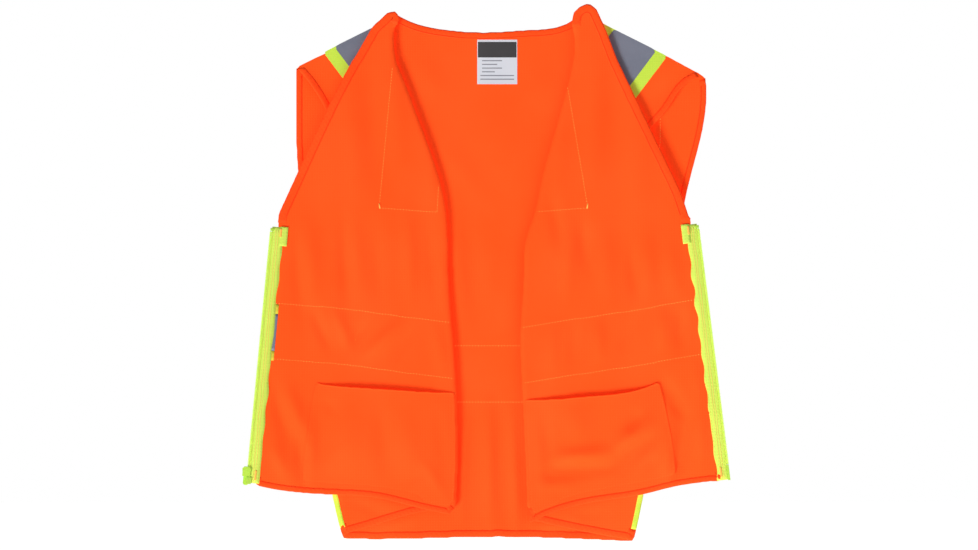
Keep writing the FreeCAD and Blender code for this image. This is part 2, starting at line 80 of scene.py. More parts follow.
# Depth of each layer in front of the back panel's outer face (towards -Y).
BACK_DEPTH = 0.5 * MM
UNDER_DEPTH = 5.5 * MM
FRONT_DEPTH = 13.5 * MM
SIDE_FOLD_DEPTH = 3.0 * MM      # where back and under layer meet
ROLL_DEPTH = 9.5 * MM           # where under layer and front meet
CLOTH = 0.7 * MM


# ---------------------------------------------------------------- outlines from the CAD nodes

CELL = 1.0 * MM
LOW_X, LOW_Z = -0.36, -0.73
GRID = (800, 720)
OUTLINE_BLUR = 4                # passes that smooth the cells' steps out of an outline
OUTLINE_STEP = 5 * MM
FLAT_AREA = 1e-6                # triangles seen edge on are smaller than this, in cells


def node_triangles(name):
    """A CAD node's triangles, flattened on to (x, z)."""
    mesh = frame["nodes"][name].data
    mesh.calc_loop_triangles()
    points = np.array([v.co for v in mesh.vertices], float)[:, [0, 2]]
    return [points[list(t.vertices)] for t in mesh.loop_triangles]


def fill_triangle(mask, corners):
    cells = (corners - (LOW_X, LOW_Z)) / CELL
    lo = np.floor(cells.min(0)).astype(int)
    hi = np.ceil(cells.max(0)).astype(int) + 1
    a, b, c = cells
    area = (b[0] - a[0]) * (c[1] - a[1]) - (b[1] - a[1]) * (c[0] - a[0])
    if abs(area) < FLAT_AREA:
        return
    x, z = np.meshgrid(np.arange(lo[0], hi[0]), np.arange(lo[1], hi[1]))
    u = ((b[0] - x) * (c[1] - z) - (b[1] - z) * (c[0] - x)) / area
    v = ((c[0] - x) * (a[1] - z) - (c[1] - z) * (a[0] - x)) / area
    inside = (u >= -1e-6) & (v >= -1e-6) & (u + v <= 1 + 1e-6)
    mask[lo[1]:hi[1], lo[0]:hi[0]] |= inside


def mask_of(names, only=None):
    """The cells that the nodes cover; only is -1 or 1 for one side of the centre line."""
    mask = np.zeros(GRID, bool)
    for name in names:
        for corners in node_triangles(name):
            if only is None or corners[:, 0].mean() * only > 0:
                fill_triangle(mask, corners)
    return mask


def fill_polygon(mask, points):
    """Adds a polygon to a mask."""
    loop = [Vector((x, z, 0)) for x, z in points]
    for triangle in geometry.tessellate_polygon([loop]):
        fill_triangle(mask, np.array([points[i] for i in triangle], float))


def spread(mask, reach):
    """The mask grown by reach cells."""
    grown = mask.copy()
    for dx in range(-reach, reach + 1):
        for dz in range(-reach, reach + 1):
            if 0 < dx * dx + dz * dz <= reach * reach:
                grown |= np.roll(np.roll(mask, dx, 1), dz, 0)
    return grown


def close_gaps(mask, reach):
    return ~spread(~spread(mask, reach), reach)


def blur(field, passes):
    for _ in range(passes):
        field = (np.roll(field, 1, 0) + np.roll(field, -1, 0) + 2 * field) / 4
        field = (np.roll(field, 1, 1) + np.roll(field, -1, 1) + 2 * field) / 4
    return field


def contour(mask):
    """The mask's longest boundary, as an ordered closed loop of (x, z) points."""
    field = blur(mask.astype(float), OUTLINE_BLUR)
    inside = field > 0.5
    corner_sum = inside[:-1, :-1].astype(int) + inside[1:, :-1] + inside[:-1, 1:] + inside[1:, 1:]
    links = {}
    for r, c in zip(*np.nonzero((corner_sum > 0) & (corner_sum < 4))):
        crossings = []
        for a, b in (((r, c), (r, c + 1)), ((r, c + 1), (r + 1, c + 1)),
                     ((r + 1, c), (r + 1, c + 1)), ((r, c), (r + 1, c))):
            if inside[a] != inside[b]:
                crossings.append((a, b))
        for first, second in zip(crossings[::2], crossings[1::2]):
            links.setdefault(first, []).append(second)
            links.setdefault(second, []).append(first)
    best = []
    unused = set(links)
    while unused:
        at = min(unused)
        loop = []
        while at in unused:
            unused.remove(at)
            loop.append(at)
            onward = [n for n in links[at] if n in unused]
            if onward:
                at = onward[0]
        if len(loop) > len(best):
            best = loop
    points = []
    for a, b in best:
        share = (0.5 - field[a]) / (field[b] - field[a])
        points.append(cell_point(a[1] + share * (b[1] - a[1]), a[0] + share * (b[0] - a[0])))
    return resample(np.array(points), OUTLINE_STEP, closed=True)


def resample(points, step, closed=False):
    """Evenly spaced points along a polyline."""
    points = np.array(points, float)
    if closed:
        points = np.vstack([points, points[:1]])
    lengths = np.r_[0, np.cumsum(np.linalg.norm(np.diff(points, axis=0), axis=1))]
    count = max(2, int(round(lengths[-1] / step)))
    at = np.linspace(0, lengths[-1], count + 1)
    if closed:
        at = at[:-1]
    return np.column_stack([np.interp(at, lengths, points[:, k]) for k in range(points.shape[1])])


def cell_point(column, row):
    return LOW_X + column * CELL, LOW_Z + row * CELL


def in_mask(mask, points):
    cells = np.round((np.asarray(points) - (LOW_X, LOW_Z)) / CELL).astype(int)
    return mask[cells[:, 1].clip(0, GRID[0] - 1), cells[:, 0].clip(0, GRID[1] - 1)]


def loop_normals(points):
    """Unit normals of a closed loop that point into it."""
    ahead = np.roll(points, -1, 0) - np.roll(points, 1, 0)
    normals = np.column_stack([-ahead[:, 1], ahead[:, 0]])
    normals /= np.linalg.norm(normals, axis=1)[:, None]
    x, z = points.T
    area = np.sum(x * np.roll(z, -1) - np.roll(x, -1) * z)
    return normals if area > 0 else -normals


def longest_run(wanted):
    """The longest stretch of true values round a closed loop, as a list of indices."""
    count = len(wanted)
    if wanted.all():
        return list(range(count))
    start = int(np.nonzero(~wanted)[0][0])
    runs, current = [], []
    for k in range(1, count + 1):
        index = (start + k) % count
        if wanted[index]:
            current.append(index)
        elif current:
            runs.append(current)
            current = []
    return max(runs, key=len) if runs else []


# ---------------------------------------------------------------- joints and fold lines

JOINTS = {j["name"]: j for j in frame["joints"]}
MIDDLE_LEVEL = -0.33            # half way down the vest


class Hinge:
    """A fold axis seen in the flat X-Z plane, with a unit vector pointing to the garment's side."""

    def __init__(self, name, side):
        joint = JOINTS[name]
        self.point = Vector(joint["pos_m"])
        self.axis = Vector(joint["axis"]).normalized()
        flat = Vector((self.axis.z, 0, -self.axis.x)).normalized()
        self.outward = flat if flat.x * SIGN[side] > 0 else -flat

    def x_at(self, z):
        return self.point.x + (z - self.point.z) * self.axis.x / self.axis.z

    def beside(self, distance):
        """A point beside the axis, half way down it."""
        middle = self.point + self.axis * ((MIDDLE_LEVEL - self.point.z) / self.axis.z)
        return middle + self.outward * distance

    def distance(self, points):
        """Signed distance of flat points from the axis, positive towards the garment's side."""
        offset = np.asarray(points) - (self.point.x, self.point.z)
        return offset @ np.array((self.outward.x, self.outward.z))


SIDE_FOLD = {s: Hinge(s + "_side_fold", s) for s in SIGN}
LOWER_FOLD = {s: Hinge(s + "_front_fold_lower", s) for s in SIGN}
UPPER_FOLD = {s: Hinge(s + "_front_fold_upper", s) for s in SIGN}
BEND = 10 * MM                  # cloth width over which a front fold turns
SIDE_BEND = 6 * MM
STRAP_SHARE = 0.375             # how far in from the side fold the strap half reaches


def attach(obj, zone):
    """Attaches a piece to its zone's body; a piece of cloth at a fold only has its transform baked
    in.
    """
    side, _, part = zone.partition(":")
    if part == "strap":
        hinge = SIDE_FOLD[side]
        hinge.beside(SIDE_BEND)
        hinge.beside(-SIDE_BEND)
        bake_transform(obj)
    elif part == "under":
        hinge = LOWER_FOLD[side]
        hinge.beside(BEND)
        hinge.beside(0)
        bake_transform(obj)
    elif part == "front":
        hinge = UPPER_FOLD[side]
        hinge.beside(0)
        hinge.beside(BEND)
        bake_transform(obj)
    else:
        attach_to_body(obj, zone)


def split_share(side, points):
    """Positive where flat points of the under layer belong to its strap half."""
    outer = SIDE_FOLD[side].distance(points)
    inner = LOWER_FOLD[side].distance(points)
    return outer + STRAP_SHARE * (inner - outer)


# ---------------------------------------------------------------- flat cloth and its folds

RING_INSETS = (0.8, 2.2, 4.0, 6.0, 8.0, 10.0, 12.0)
ROW_SPACING = 0.866             # row distance of even triangles, as a share of their side


class Cloth:
    """A flat cut of cloth: outline loop, triangles in flat space, and its shape in space."""

    def __init__(self, mask, depth, step, rolled=None):
        self.mask = mask
        self.loop = contour(mask)
        self.inward = loop_normals(self.loop)
        rings = self.edge_rings(rolled)
        self.flat, self.tris = self.fill(step, rings)
        self.depth = np.full(len(self.flat), depth)
        self.tree = BVHTree.FromPolygons([(x, 0, z) for x, z in self.flat],
                                         [tuple(t) for t in self.tris])
        self.update()

    def edge_rings(self, rolled):
        """Points in rows along a rolled edge, where the cloth curves most."""
        if rolled is None:
            return np.zeros((0, 2))
        chosen = rolled(self.loop, self.inward)
        rings = np.vstack([self.loop[chosen] + self.inward[chosen] * d * MM for d in RING_INSETS])
        return rings[in_mask(self.mask, rings)]

    def fill(self, step, rings):
        """Triangles about step wide that fill the outline and take in the rings."""
        lo, hi = self.loop.min(0), self.loop.max(0)
        rows = np.arange(lo[1], hi[1], step * ROW_SPACING)
        points = []
        for k, z in enumerate(rows):
            xs = np.arange(lo[0] + (k % 2) * step / 2, hi[0], step)
            points.append(np.column_stack([xs, np.full(len(xs), z)]))
        points = np.vstack(points)
        core = ~spread(~self.mask, 4)
        points = points[in_mask(core, points)]
        if len(rings):
            gaps = np.linalg.norm(points[:, None, :] - rings[None, :, :], axis=2).min(1)
            points = points[gaps > 0.6 * step]
        points = np.vstack([self.loop, rings, points])
        count = len(self.loop)
        result = geometry.delaunay_2d_cdt([Vector(p) for p in points], [], [list(range(count))],
                                          1, 1e-7)
        flat = np.array([tuple(v) for v in result[0]])
        return flat, np.array([t for t in result[2] if len(t) == 3])

    def update(self):
        """Refreshes space positions and normals after a change of depth."""
        self.space = np.column_stack([self.flat[:, 0], -self.depth, self.flat[:, 1]])
        self.refresh_normals()

    def refresh_normals(self):
        a, b, c = (self.space[self.tris[:, k]] for k in range(3))
        face = np.cross(b - a, c - a)
        face[face[:, 1] > 0] *= -1          # the side that faces -Y
        normals = np.zeros_like(self.space)
        for k in range(3):
            np.add.at(normals, self.tris[:, k], face)
        self.normals = normals / np.linalg.norm(normals, axis=1)[:, None]

    def lift(self, points, offset=0.0):
        """Flat points moved on to the cloth in space, offset along its normal towards -Y."""
        points = np.asarray(points, float)
        offsets = np.broadcast_to(offset, len(points))
        lifted = np.empty((len(points), 3))
        for k, (x, z) in enumerate(points):
            _, _, index, _ = self.tree.find_nearest((x, 0.0, z))
            corners = self.tris[index]
            (x0, z0), (x1, z1), (x2, z2) = self.flat[corners]
            area = (x1 - x0) * (z2 - z0) - (x2 - x0) * (z1 - z0)
            u = ((x1 - x) * (z2 - z) - (x2 - x) * (z1 - z)) / area
            v = ((x2 - x) * (z0 - z) - (x0 - x) * (z2 - z)) / area
            weights = np.array((u, v, 1 - u - v))
            normal = weights @ self.normals[corners]
            lifted[k] = weights @ self.space[corners] + normal / np.linalg.norm(normal) * offsets[k]
        return lifted


def segment_distance(points, a, b):
    """Distance from a segment, and how far along it the nearest place is, from 0 to 1."""
    a, b = np.array(a), np.array(b)
    along = ((points - a) @ (b - a)) / ((b - a) @ (b - a))
    along = along.clip(0, 1)
    return np.linalg.norm(points - (a + along[:, None] * (b - a)), axis=1), along


def fold_heights(flat, folds):
    """The height field of soft folds: a list of (start, end, half width, height)."""
    heights = np.zeros(len(flat))
    for start, end, width, height in folds:
        distance, along = segment_distance(flat, start, end)
        taper = np.sin(np.pi * (0.12 + 0.76 * along)) ** 1.5
        heights += height * taper * np.exp(-((distance / width) ** 2))
    return heights


def ripple(points, scale, seed):
    """Smooth, repeatable noise between about -1 and 1."""
    rng = np.random.default_rng(seed)
    total = np.zeros(len(points))
    for _ in range(7):
        angle = rng.uniform(0, math.pi)
        frequency = rng.uniform(0.6, 1.5) / scale
        phase = rng.uniform(0, 2 * math.pi)
        direction = np.array((math.cos(angle), 0.45 * math.sin(angle)))
        total += np.sin(points @ direction * 2 * math.pi * frequency + phase)
    return total / 3.2


def smooth_step(values):
    values = np.clip(values, 0, 1)
    return values * values * (3 - 2 * values)


def edge_distance(cloth, chosen):
    """Distance of all the cloth's flat points from chosen points of its outline."""
    edge = cloth.loop[chosen]
    return np.linalg.norm(cloth.flat[:, None, :] - edge[None, :, :], axis=2).min(1)


def roll_edge(cloth, chosen, depth, reach):
    """Curves the cloth to another depth along chosen loop points, as at a soft fold."""
    share = np.clip(1 - edge_distance(cloth, chosen) / reach, 0, 1)
    drop = 1 - np.sqrt(np.clip(1 - share ** 2, 0, 1))
    cloth.depth += (depth - cloth.depth) * drop
    cloth.update()


CLOTH_SETTINGS = {"quality": 6, "mass": 0.15, "tension_stiffness": 12, "compression_stiffness": 12,
                  "shear_stiffness": 5, "bending_stiffness": 0.25, "air_damping": 2,
                  "vertex_group_mass": "pin"}


def relax(cloth, pinned, ease, frames, limit):
    """Lets the cloth buckle: its rest shape is larger by ease, across and up, than its space.

    Points move no further than limit, and pinned ones (1 for fully held) stay.
    """
    mesh = bpy.data.meshes.new("relaxing")
    mesh.from_pydata(cloth.space.tolist(), [], cloth.tris.tolist())
    obj = bpy.data.objects.new("relaxing", mesh)
    SCENE.collection.objects.link(obj)
    group = obj.vertex_groups.new(name="pin")
    for index, weight in enumerate(pinned):
        if weight > 0:
            group.add([index], float(weight), "REPLACE")
    obj.shape_key_add(name="Basis")
    larger = obj.shape_key_add(name="rest")
    grown = cloth.space * (1 + ease[0], 1, 1 + ease[1])
    larger.data.foreach_set("co", grown.astype(np.float32).ravel())
    modifier = obj.modifiers.new("Cloth", "CLOTH")
    for setting, value in CLOTH_SETTINGS.items():
        setattr(modifier.settings, setting, value)
    modifier.settings.rest_shape_key = larger
    modifier.settings.effector_weights.gravity = 0
    modifier.collision_settings.use_collision = False
    modifier.point_cache.frame_start = 1
    modifier.point_cache.frame_end = frames
    SCENE.frame_start, SCENE.frame_end = 1, frames
    for number in range(1, frames + 1):
        SCENE.frame_set(number)
    settled = obj.evaluated_get(bpy.context.evaluated_depsgraph_get()).data
    moved = np.empty(len(cloth.flat) * 3, np.float32)
    settled.vertices.foreach_get("co", moved)
    shift = moved.reshape(-1, 3) - cloth.space
    length = np.linalg.norm(shift, axis=1)[:, None]
    shift *= np.minimum(1, limit / np.maximum(length, 1e-9))
    cloth.space = cloth.space + shift
    cloth.refresh_normals()
    SCENE.frame_set(1)
    bpy.data.objects.remove(obj)
    bpy.data.meshes.remove(mesh)


# ---------------------------------------------------------------- building pieces

def new_piece(name, verts, faces, material, zone, smooth=True):
    """A mesh with one material, set up for its zone by attach."""
    mesh = bpy.data.meshes.new(name)
    mesh.from_pydata([tuple(v) for v in verts], [], [tuple(int(i) for i in f) for f in faces])
    mesh.validate()
    mesh.polygons.foreach_set("use_smooth", [smooth] * len(mesh.polygons))
    mesh.materials.append(material)
    obj = bpy.data.objects.new(name, mesh)
    SCENE.collection.objects.link(obj)
    attach(obj, zone)
    return obj


def stand_in(piece, slot, *nodes):
    """Hides the CAD nodes that a piece replaces, if any. The piece and the slot are not used."""
    if nodes:
        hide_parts(*nodes)


def shell(name, cloth, material, zone, keep=None, thickness=CLOTH):
    """The cloth as a closed sheet with both faces and its edge."""
    tris = cloth.tris if keep is None else cloth.tris[keep[cloth.tris].sum(1) >= 2]
    used = np.unique(tris)
    index = np.full(len(cloth.flat), -1)
    index[used] = np.arange(len(used))
    tris = index[tris]
    space, normals = cloth.space[used], cloth.normals[used]
    front = space + normals * thickness / 2
    rear = space - normals * thickness / 2
    a, b, c = (space[tris[:, k]] for k in range(3))
    flip = np.cross(b - a, c - a)[:, 1] > 0
    tris[flip] = tris[flip][:, ::-1]
    count = len(used)
    edges = dict.fromkeys((int(t[i]), int(t[(i + 1) % 3])) for t in tris for i in range(3))
    rim = [(b, a, a + count, b + count) for a, b in edges if (b, a) not in edges]
    faces = [tuple(t) for t in tris] + [tuple(t[::-1] + count) for t in tris] + rim
    piece = new_piece(name, np.vstack([front, rear]), faces, material, zone)
    piece.data.normals_split_custom_set_from_vertices(np.vstack([normals, -normals]).tolist())
    return piece


def tube_faces(stations, ring):
    """Quads that join rings of points, with flat ends."""
    faces = []
    for start in range(0, (stations - 1) * ring, ring):
        for r in range(ring):
            nxt = (r + 1) % ring
            faces.append((start + r, start + nxt, start + ring + nxt, start + ring + r))
    faces.append(tuple(range(ring))[::-1])
    faces.append(tuple((stations - 1) * ring + r for r in range(ring)))
    return faces


def slab_faces(rows, columns):
    """Faces of a thin solid: a grid of points, an equal grid under it, and the edge between."""
    count = rows * columns
    faces = []
    for r in range(rows - 1):
        for c in range(columns - 1):
            i = r * columns + c
            quad = (i, i + 1, i + columns + 1, i + columns)
            faces.append(quad)
            faces.append(tuple(count + k for k in quad[::-1]))
    border = [(0, c) for c in range(columns)] + [(r, columns - 1) for r in range(1, rows)]
    border += [(rows - 1, c) for c in range(columns - 2, -1, -1)]
    border += [(r, 0) for r in range(rows - 2, 0, -1)]
    ids = [r * columns + c for r, c in border]
    for a, b in zip(ids, ids[1:] + ids[:1]):
        faces.append((b, a, count + a, count + b))
    return faces


def laid_strip(name, cloth, rows, offset, thickness, material, zone, smooth=True):
    """A thin solid laid on the cloth: rows are equally long lists of flat points."""
    flat = np.vstack(rows)
    top = cloth.lift(flat, offset + math.copysign(thickness, offset))
    low = cloth.lift(flat, offset)
    faces = slab_faces(len(rows), len(rows[0]))
    return new_piece(name, np.vstack([top, low]), faces, material, zone, smooth)


# Across the binding as shares of its width, and above the cloth as shares of its thickness.
BINDING_PROFILE = ((1.0, 0.3), (0.9, 0.75), (0.5, 1.0), (0.12, 0.95), (-0.08, 0.5),
                   (-0.08, -0.5), (0.12, -0.95), (0.5, -1.0), (0.9, -0.75), (1.0, -0.3))
PUCKER, PUCKER_TURN = 0.12, 1.9


def binding(name, cloth, indices, width, zone, material, seed, thickness=1.0 * MM):
    """Folded edge binding along part of a cloth's outline."""
    points = cloth.loop[indices]
    inward = cloth.inward[indices]
    phase = np.random.default_rng(seed).uniform(0, 6)
    verts = []
    pucker = 1 + PUCKER * np.sin(np.arange(len(points)) * PUCKER_TURN + phase)
    for across, height in BINDING_PROFILE:
        flat = points + inward * (across * width)
        lifted = cloth.lift(points + inward * max(across, 0.0) * width, height * thickness * pucker)
        if across < 0:
            lifted[:, [0, 2]] += flat - points
        verts.append(lifted)
    ring = len(BINDING_PROFILE)
    verts = np.stack(verts, axis=1).reshape(-1, 3)
    return new_piece(name, verts, tube_faces(len(points), ring), material, zone)


def along_and_across(steps):
    """The unit vectors of a flat path's steps, and those square to them."""
    ahead = steps / np.linalg.norm(steps, axis=1)[:, None]
    return ahead, np.column_stack([-ahead[:, 1], ahead[:, 0]])


STITCH = 2.6 * MM
STITCH_PITCH = 3.9 * MM
STITCH_CROWN = 0.35 * MM


def stitches(name, cloth, lines, material, zone, offset=0.5 * MM, width=1.4 * MM):
    """Thread showing along flat polylines: one small rounded grain for each stitch."""
    verts, faces = [], []
    for line in lines:
        path = resample(line, STITCH_PITCH)
        if len(path) < 3:
            continue
        starts = path[:-1]
        ahead, aside = along_and_across(path[1:] - starts)
        ends = starts + ahead * STITCH
        middle = (starts + ends) / 2
        rows = [cloth.lift(starts, offset * 0.2),
                cloth.lift(middle + aside * width / 2, offset * 0.4),
                cloth.lift(ends, offset * 0.2),
                cloth.lift(middle - aside * width / 2, offset * 0.4),
                cloth.lift(middle, offset + STITCH_CROWN)]
        for i in range(len(verts), len(verts) + 5 * len(starts), 5):
            faces += [(i, i + 1, i + 4), (i + 1, i + 2, i + 4), (i + 2, i + 3, i + 4),
                      (i + 3, i, i + 4), (i, i + 3, i + 2, i + 1)]
        verts.extend(np.stack(rows, axis=1).reshape(-1, 3))
    if verts:
        new_piece(name, verts, faces, material, zone)


def overlay(name, parent, mask, offset, thickness, material, zone):
    """A flat piece of trim that lies on another cloth and follows its folds."""
    piece = Cloth(mask, 0.0, 6 * MM)
    piece.space = parent.lift(piece.flat, offset)
    piece.refresh_normals()
    return shell(name, piece, material, zone, thickness=thickness)


def ribbon(name, cloth, line, width, offset, thickness, material, zone):
    """A narrow tape centred on a flat polyline."""
    path = resample(line, 4 * MM)
    _, aside = along_and_across(np.gradient(path, axis=0))
    rows = [path + aside * width * share for share in (-0.5, -0.17, 0.17, 0.5)]
    return laid_strip(name, cloth, rows, offset, thickness, material, zone)


# ---------------------------------------------------------------- materials

def add_node(tree, kind, **values):
    """A new node, with values for its inputs or its own settings."""
    node = tree.nodes.new(kind)
    for key, value in values.items():
        if key in node.inputs:
            node.inputs[key].default_value = value
        else:
            setattr(node, key, value)
    return node


def start_material(name, colour, roughness, glow):
    """A plain material, with the output that says where on its piece a point lies."""
    material = bpy.data.materials.new(name)
    material.use_nodes = True
    tree = material.node_tree
    shader = tree.nodes["Principled BSDF"]
    shader.inputs["Base Color"].default_value = (*colour, 1)
    shader.inputs["Roughness"].default_value = roughness
    # Emission is a painted glow of the material's own tone, added on top of the lamps' light.
    shader.inputs["Emission Color"].default_value = (*colour, 1)
    shader.inputs["Emission Strength"].default_value = glow
    shader.inputs["Specular IOR Level"].default_value = 0.15
    where = add_node(tree, "ShaderNodeTexCoord")
    return material, tree, shader, where.outputs["Object"]


def shade_variation(tree, shader, where, colour, deeper, scale):
    """Lets the colour drift between two tones in soft patches."""
    noise = add_node(tree, "ShaderNodeTexNoise", Scale=scale, Detail=3.0)
    tree.links.new(where, noise.inputs["Vector"])
    ramp = add_node(tree, "ShaderNodeValToRGB")
    ramp.color_ramp.elements[0].position = 0.35
    ramp.color_ramp.elements[1].position = 0.65
    ramp.color_ramp.elements[0].color = (*deeper, 1)
    ramp.color_ramp.elements[1].color = (*colour, 1)
    tree.links.new(noise.outputs["Fac"], ramp.inputs["Fac"])
    tree.links.new(ramp.outputs["Color"], shader.inputs["Base Color"])
    tree.links.new(ramp.outputs["Color"], shader.inputs["Emission Color"])


def add_bump(tree, shader, height, strength, distance):
    """Fine relief from a texture's output."""
    bump = add_node(tree, "ShaderNodeBump", Strength=strength, Distance=distance)
    tree.links.new(height, bump.inputs["Height"])
    tree.links.new(bump.outputs["Normal"], shader.inputs["Normal"])


def woven(name, colour, deeper, thread, roughness=0.85, glow=0.10, strength=0.25, angle=0.0,
          painted_glow_tone=None):
    """A woven textile: two crossing sets of threads as fine relief, with soft tone drift.

    The tone of its faint painted glow, which lifts its shaded parts, is given where it differs from
    its colour.
    """
    material, tree, shader, where = start_material(name, colour, roughness, glow)
    shade_variation(tree, shader, where, colour, deeper, 9.0)
    if painted_glow_tone:
        tree.links.remove(shader.inputs["Emission Color"].links[0])
        shader.inputs["Emission Color"].default_value = (*painted_glow_tone, 1)
    turn = add_node(tree, "ShaderNodeMapping")
    turn.inputs["Rotation"].default_value = (0, angle, 0)
    tree.links.new(where, turn.inputs["Vector"])
    bands = []
    for direction in ("X", "Z"):
        wave = add_node(tree, "ShaderNodeTexWave", Scale=1 / (thread * 20), Distortion=0.6)
        wave.bands_direction = direction
        tree.links.new(turn.outputs["Vector"], wave.inputs["Vector"])
        bands.append(wave.outputs["Fac"])
    mix = add_node(tree, "ShaderNodeMath", operation="MULTIPLY")
    tree.links.new(bands[0], mix.inputs[0])
    tree.links.new(bands[1], mix.inputs[1])
    add_bump(tree, shader, mix.outputs[0], strength, thread)
    return material


def beaded(name, colour, deeper):
    """Reflective tape: glass beads in a grey binder."""
    material, tree, shader, where = start_material(name, colour, 0.45, 0.02)
    shade_variation(tree, shader, where, colour, deeper, 30.0)
    shader.inputs["Metallic"].default_value = 0.15
    cells = add_node(tree, "ShaderNodeTexVoronoi", Scale=1800.0)
    tree.links.new(where, cells.inputs["Vector"])
    add_bump(tree, shader, cells.outputs["Distance"], 0.25, 0.3 * MM)
    return material


def moulded(name, colour, deeper, roughness=0.35, glow=0.1):
    """Moulded plastic or enamel with a faint mottle."""
    material, tree, shader, where = start_material(name, colour, roughness, glow)
    shade_variation(tree, shader, where, colour, deeper, 140.0)
    shader.inputs["Specular IOR Level"].default_value = 0.5
    noise = add_node(tree, "ShaderNodeTexNoise", Scale=900.0, Detail=2.0)
    tree.links.new(where, noise.inputs["Vector"])
    add_bump(tree, shader, noise.outputs["Fac"], 0.08, 0.4 * MM)
    return material


RED_PAINTED_GLOW = (1.0, 0.045, 0.008)     # tone of the painted glow that keeps fluorescent orange cloth deep red where it is shaded, as light passed on inside the real cloth does
ORANGE = woven("orange_knit", (1.0, 0.100, 0.010), (1.0, 0.091, 0.007), 0.55 * MM, glow=0.26,
               painted_glow_tone=RED_PAINTED_GLOW)
PIPING = woven("orange_piping", (1.0, 0.084, 0.008), (0.98, 0.072, 0.006), 0.8 * MM, glow=0.26,
               angle=0.6, painted_glow_tone=RED_PAINTED_GLOW)
THREAD = woven("orange_thread", (1.0, 0.55, 0.11), (1.0, 0.46, 0.09), 0.3 * MM, glow=0.2)
LIME = woven("lime_trim", (0.62, 0.84, 0.08), (0.56, 0.78, 0.07), 0.5 * MM)
LIME_TAPE = woven("lime_zip_tape", (0.64, 0.82, 0.12), (0.59, 0.76, 0.105), 0.7 * MM, glow=0.16,
                  strength=0.3)
LIME_THREAD = woven("lime_thread", (0.72, 0.62, 0.06), (0.66, 0.55, 0.05), 0.3 * MM)
COIL = moulded("lime_coil", (0.68, 0.90, 0.11), (0.62, 0.84, 0.10), glow=0.2)
COIL_SEAM = woven("lime_coil_seam", (0.62, 0.74, 0.10), (0.56, 0.68, 0.09), 0.6 * MM, glow=0.2)
TAPE_LINE = woven("amber_tape_line", (0.80, 0.66, 0.13), (0.74, 0.60, 0.11), 0.4 * MM, glow=0.2)
# Painted shadow: the dark tone of the ribbon along each binding's inner edge, where the binding's
# step would shade the cloth.
EDGE_SHADE = woven("painted_edge_shadow", (0.85, 0.048, 0.004), (0.78, 0.042, 0.003), 0.4 * MM, glow=0.3,
                   painted_glow_tone=(0.9, 0.02, 0.003))
POCKET_THREAD = woven("orange_pocket_thread", (1.0, 0.20, 0.03), (1.0, 0.17, 0.025), 0.3 * MM)
SILVER = beaded("silver_tape", (0.235, 0.25, 0.315), (0.205, 0.222, 0.285))
LABEL = woven("white_label", (0.74, 0.76, 0.82), (0.68, 0.70, 0.77), 0.25 * MM, 0.4, 0.05, 0.1)
HEADER = woven("grey_label", (0.075, 0.072, 0.075), (0.055, 0.052, 0.055), 0.25 * MM, 0.4, 0.0, 0.1)
BARS = woven("label_bars", (0.28, 0.29, 0.33), (0.22, 0.23, 0.27), 0.25 * MM, 0.5, 0.0, 0.1)
ENAMEL = moulded("lime_enamel", (0.50, 0.80, 0.07), (0.44, 0.74, 0.06))
BOX_PLASTIC = moulded("lime_box", (0.46, 0.72, 0.07), (0.40, 0.66, 0.06), 0.4)


# ---------------------------------------------------------------- zip line

class ZipLine:
    """Flat space of one zip half: up from the tape's foot, and inwards from the closing edge."""

    COIL_ROOM = 3 * MM

    def __init__(self, side):
        mesh = frame["nodes"][side + "_zip_tape"].data
        points = np.array([v.co for v in mesh.vertices], float)[:, [0, 2]]
        middle = points.mean(0)
        _, _, directions = np.linalg.svd(points - middle)
        self.up = directions[0] * math.copysign(1, directions[0][1])
        self.inward = np.array((self.up[1], -self.up[0]))
        if self.inward[0] * SIGN[side] > 0:
            self.inward = -self.inward
        heights = (points - middle) @ self.up
        across = (points - middle) @ self.inward
        self.length = heights.max() - heights.min()
        self.foot = middle + self.up * heights.min() + self.inward * (across.min() - self.COIL_ROOM)

    def at(self, height, inwards):
        return self.foot + self.up * height + self.inward * inwards

    def inset(self, points):
        """How far flat points lie inwards from the closing edge, and how high up the zip."""
        offset = np.asarray(points) - self.foot
        return offset @ self.inward, offset @ self.up


ZIPS = {s: ZipLine(s) for s in SIGN}


# ---------------------------------------------------------------- pattern measures

HEM_LEVEL = -0.691              # hem level below the neckline


def above_hem(height):
    """The flat level of a height above the hem in millimetres."""
    return HEM_LEVEL + height * MM


def at(side, x, z):
    """A pattern point: distance from the centre-back and height above the hem, in millimetres."""
    return (SIGN[side] * x * MM, above_hem(z))


def pattern(side, points):
    """Several pattern points in flat space."""
    return [at(side, x, z) for x, z in points]


def axis_run(hinge, top, low, inwards):
    """Two flat points on a fold axis, moved away from the garment's side."""
    return [(hinge.x_at(above_hem(z)) - hinge.outward.x * inwards, above_hem(z))
            for z in (top, low)]


# The corner where the turned-over front meets the neck: its roll, then back up its open edge.
NECK_CORNER = {
    "right": [(99, 590), (104, 604), (113, 627), (123, 651), (127, 674), (126, 696),
              (119, 709), (124, 719), (134, 717), (154.7, 698), (166, 678), (188.5, 639),
              (140, 590)],
    "left": [(100, 590), (107, 615), (113, 640), (118, 665), (117, 688), (114, 703),
             (117, 718), (125, 725.5), (136, 729.5), (146, 722), (158.6, 694), (173, 656),
             (186, 628), (140, 590)],
}


def band_edge(name, upper):
    """The upper or lower edge of a band node as a flat polyline, inner end first."""
    mask = mask_of([name])
    heights = mask.sum(0)
    columns = np.nonzero(heights > heights.max() - 5)[0][3:-3]
    line = []
    for column in columns[::6]:
        rows = np.nonzero(mask[:, column])[0]
        line.append(cell_point(column, rows[-1] if upper else rows[0]))
    line = np.array(line)
    return line if abs(line[0, 0]) < abs(line[-1, 0]) else line[::-1]


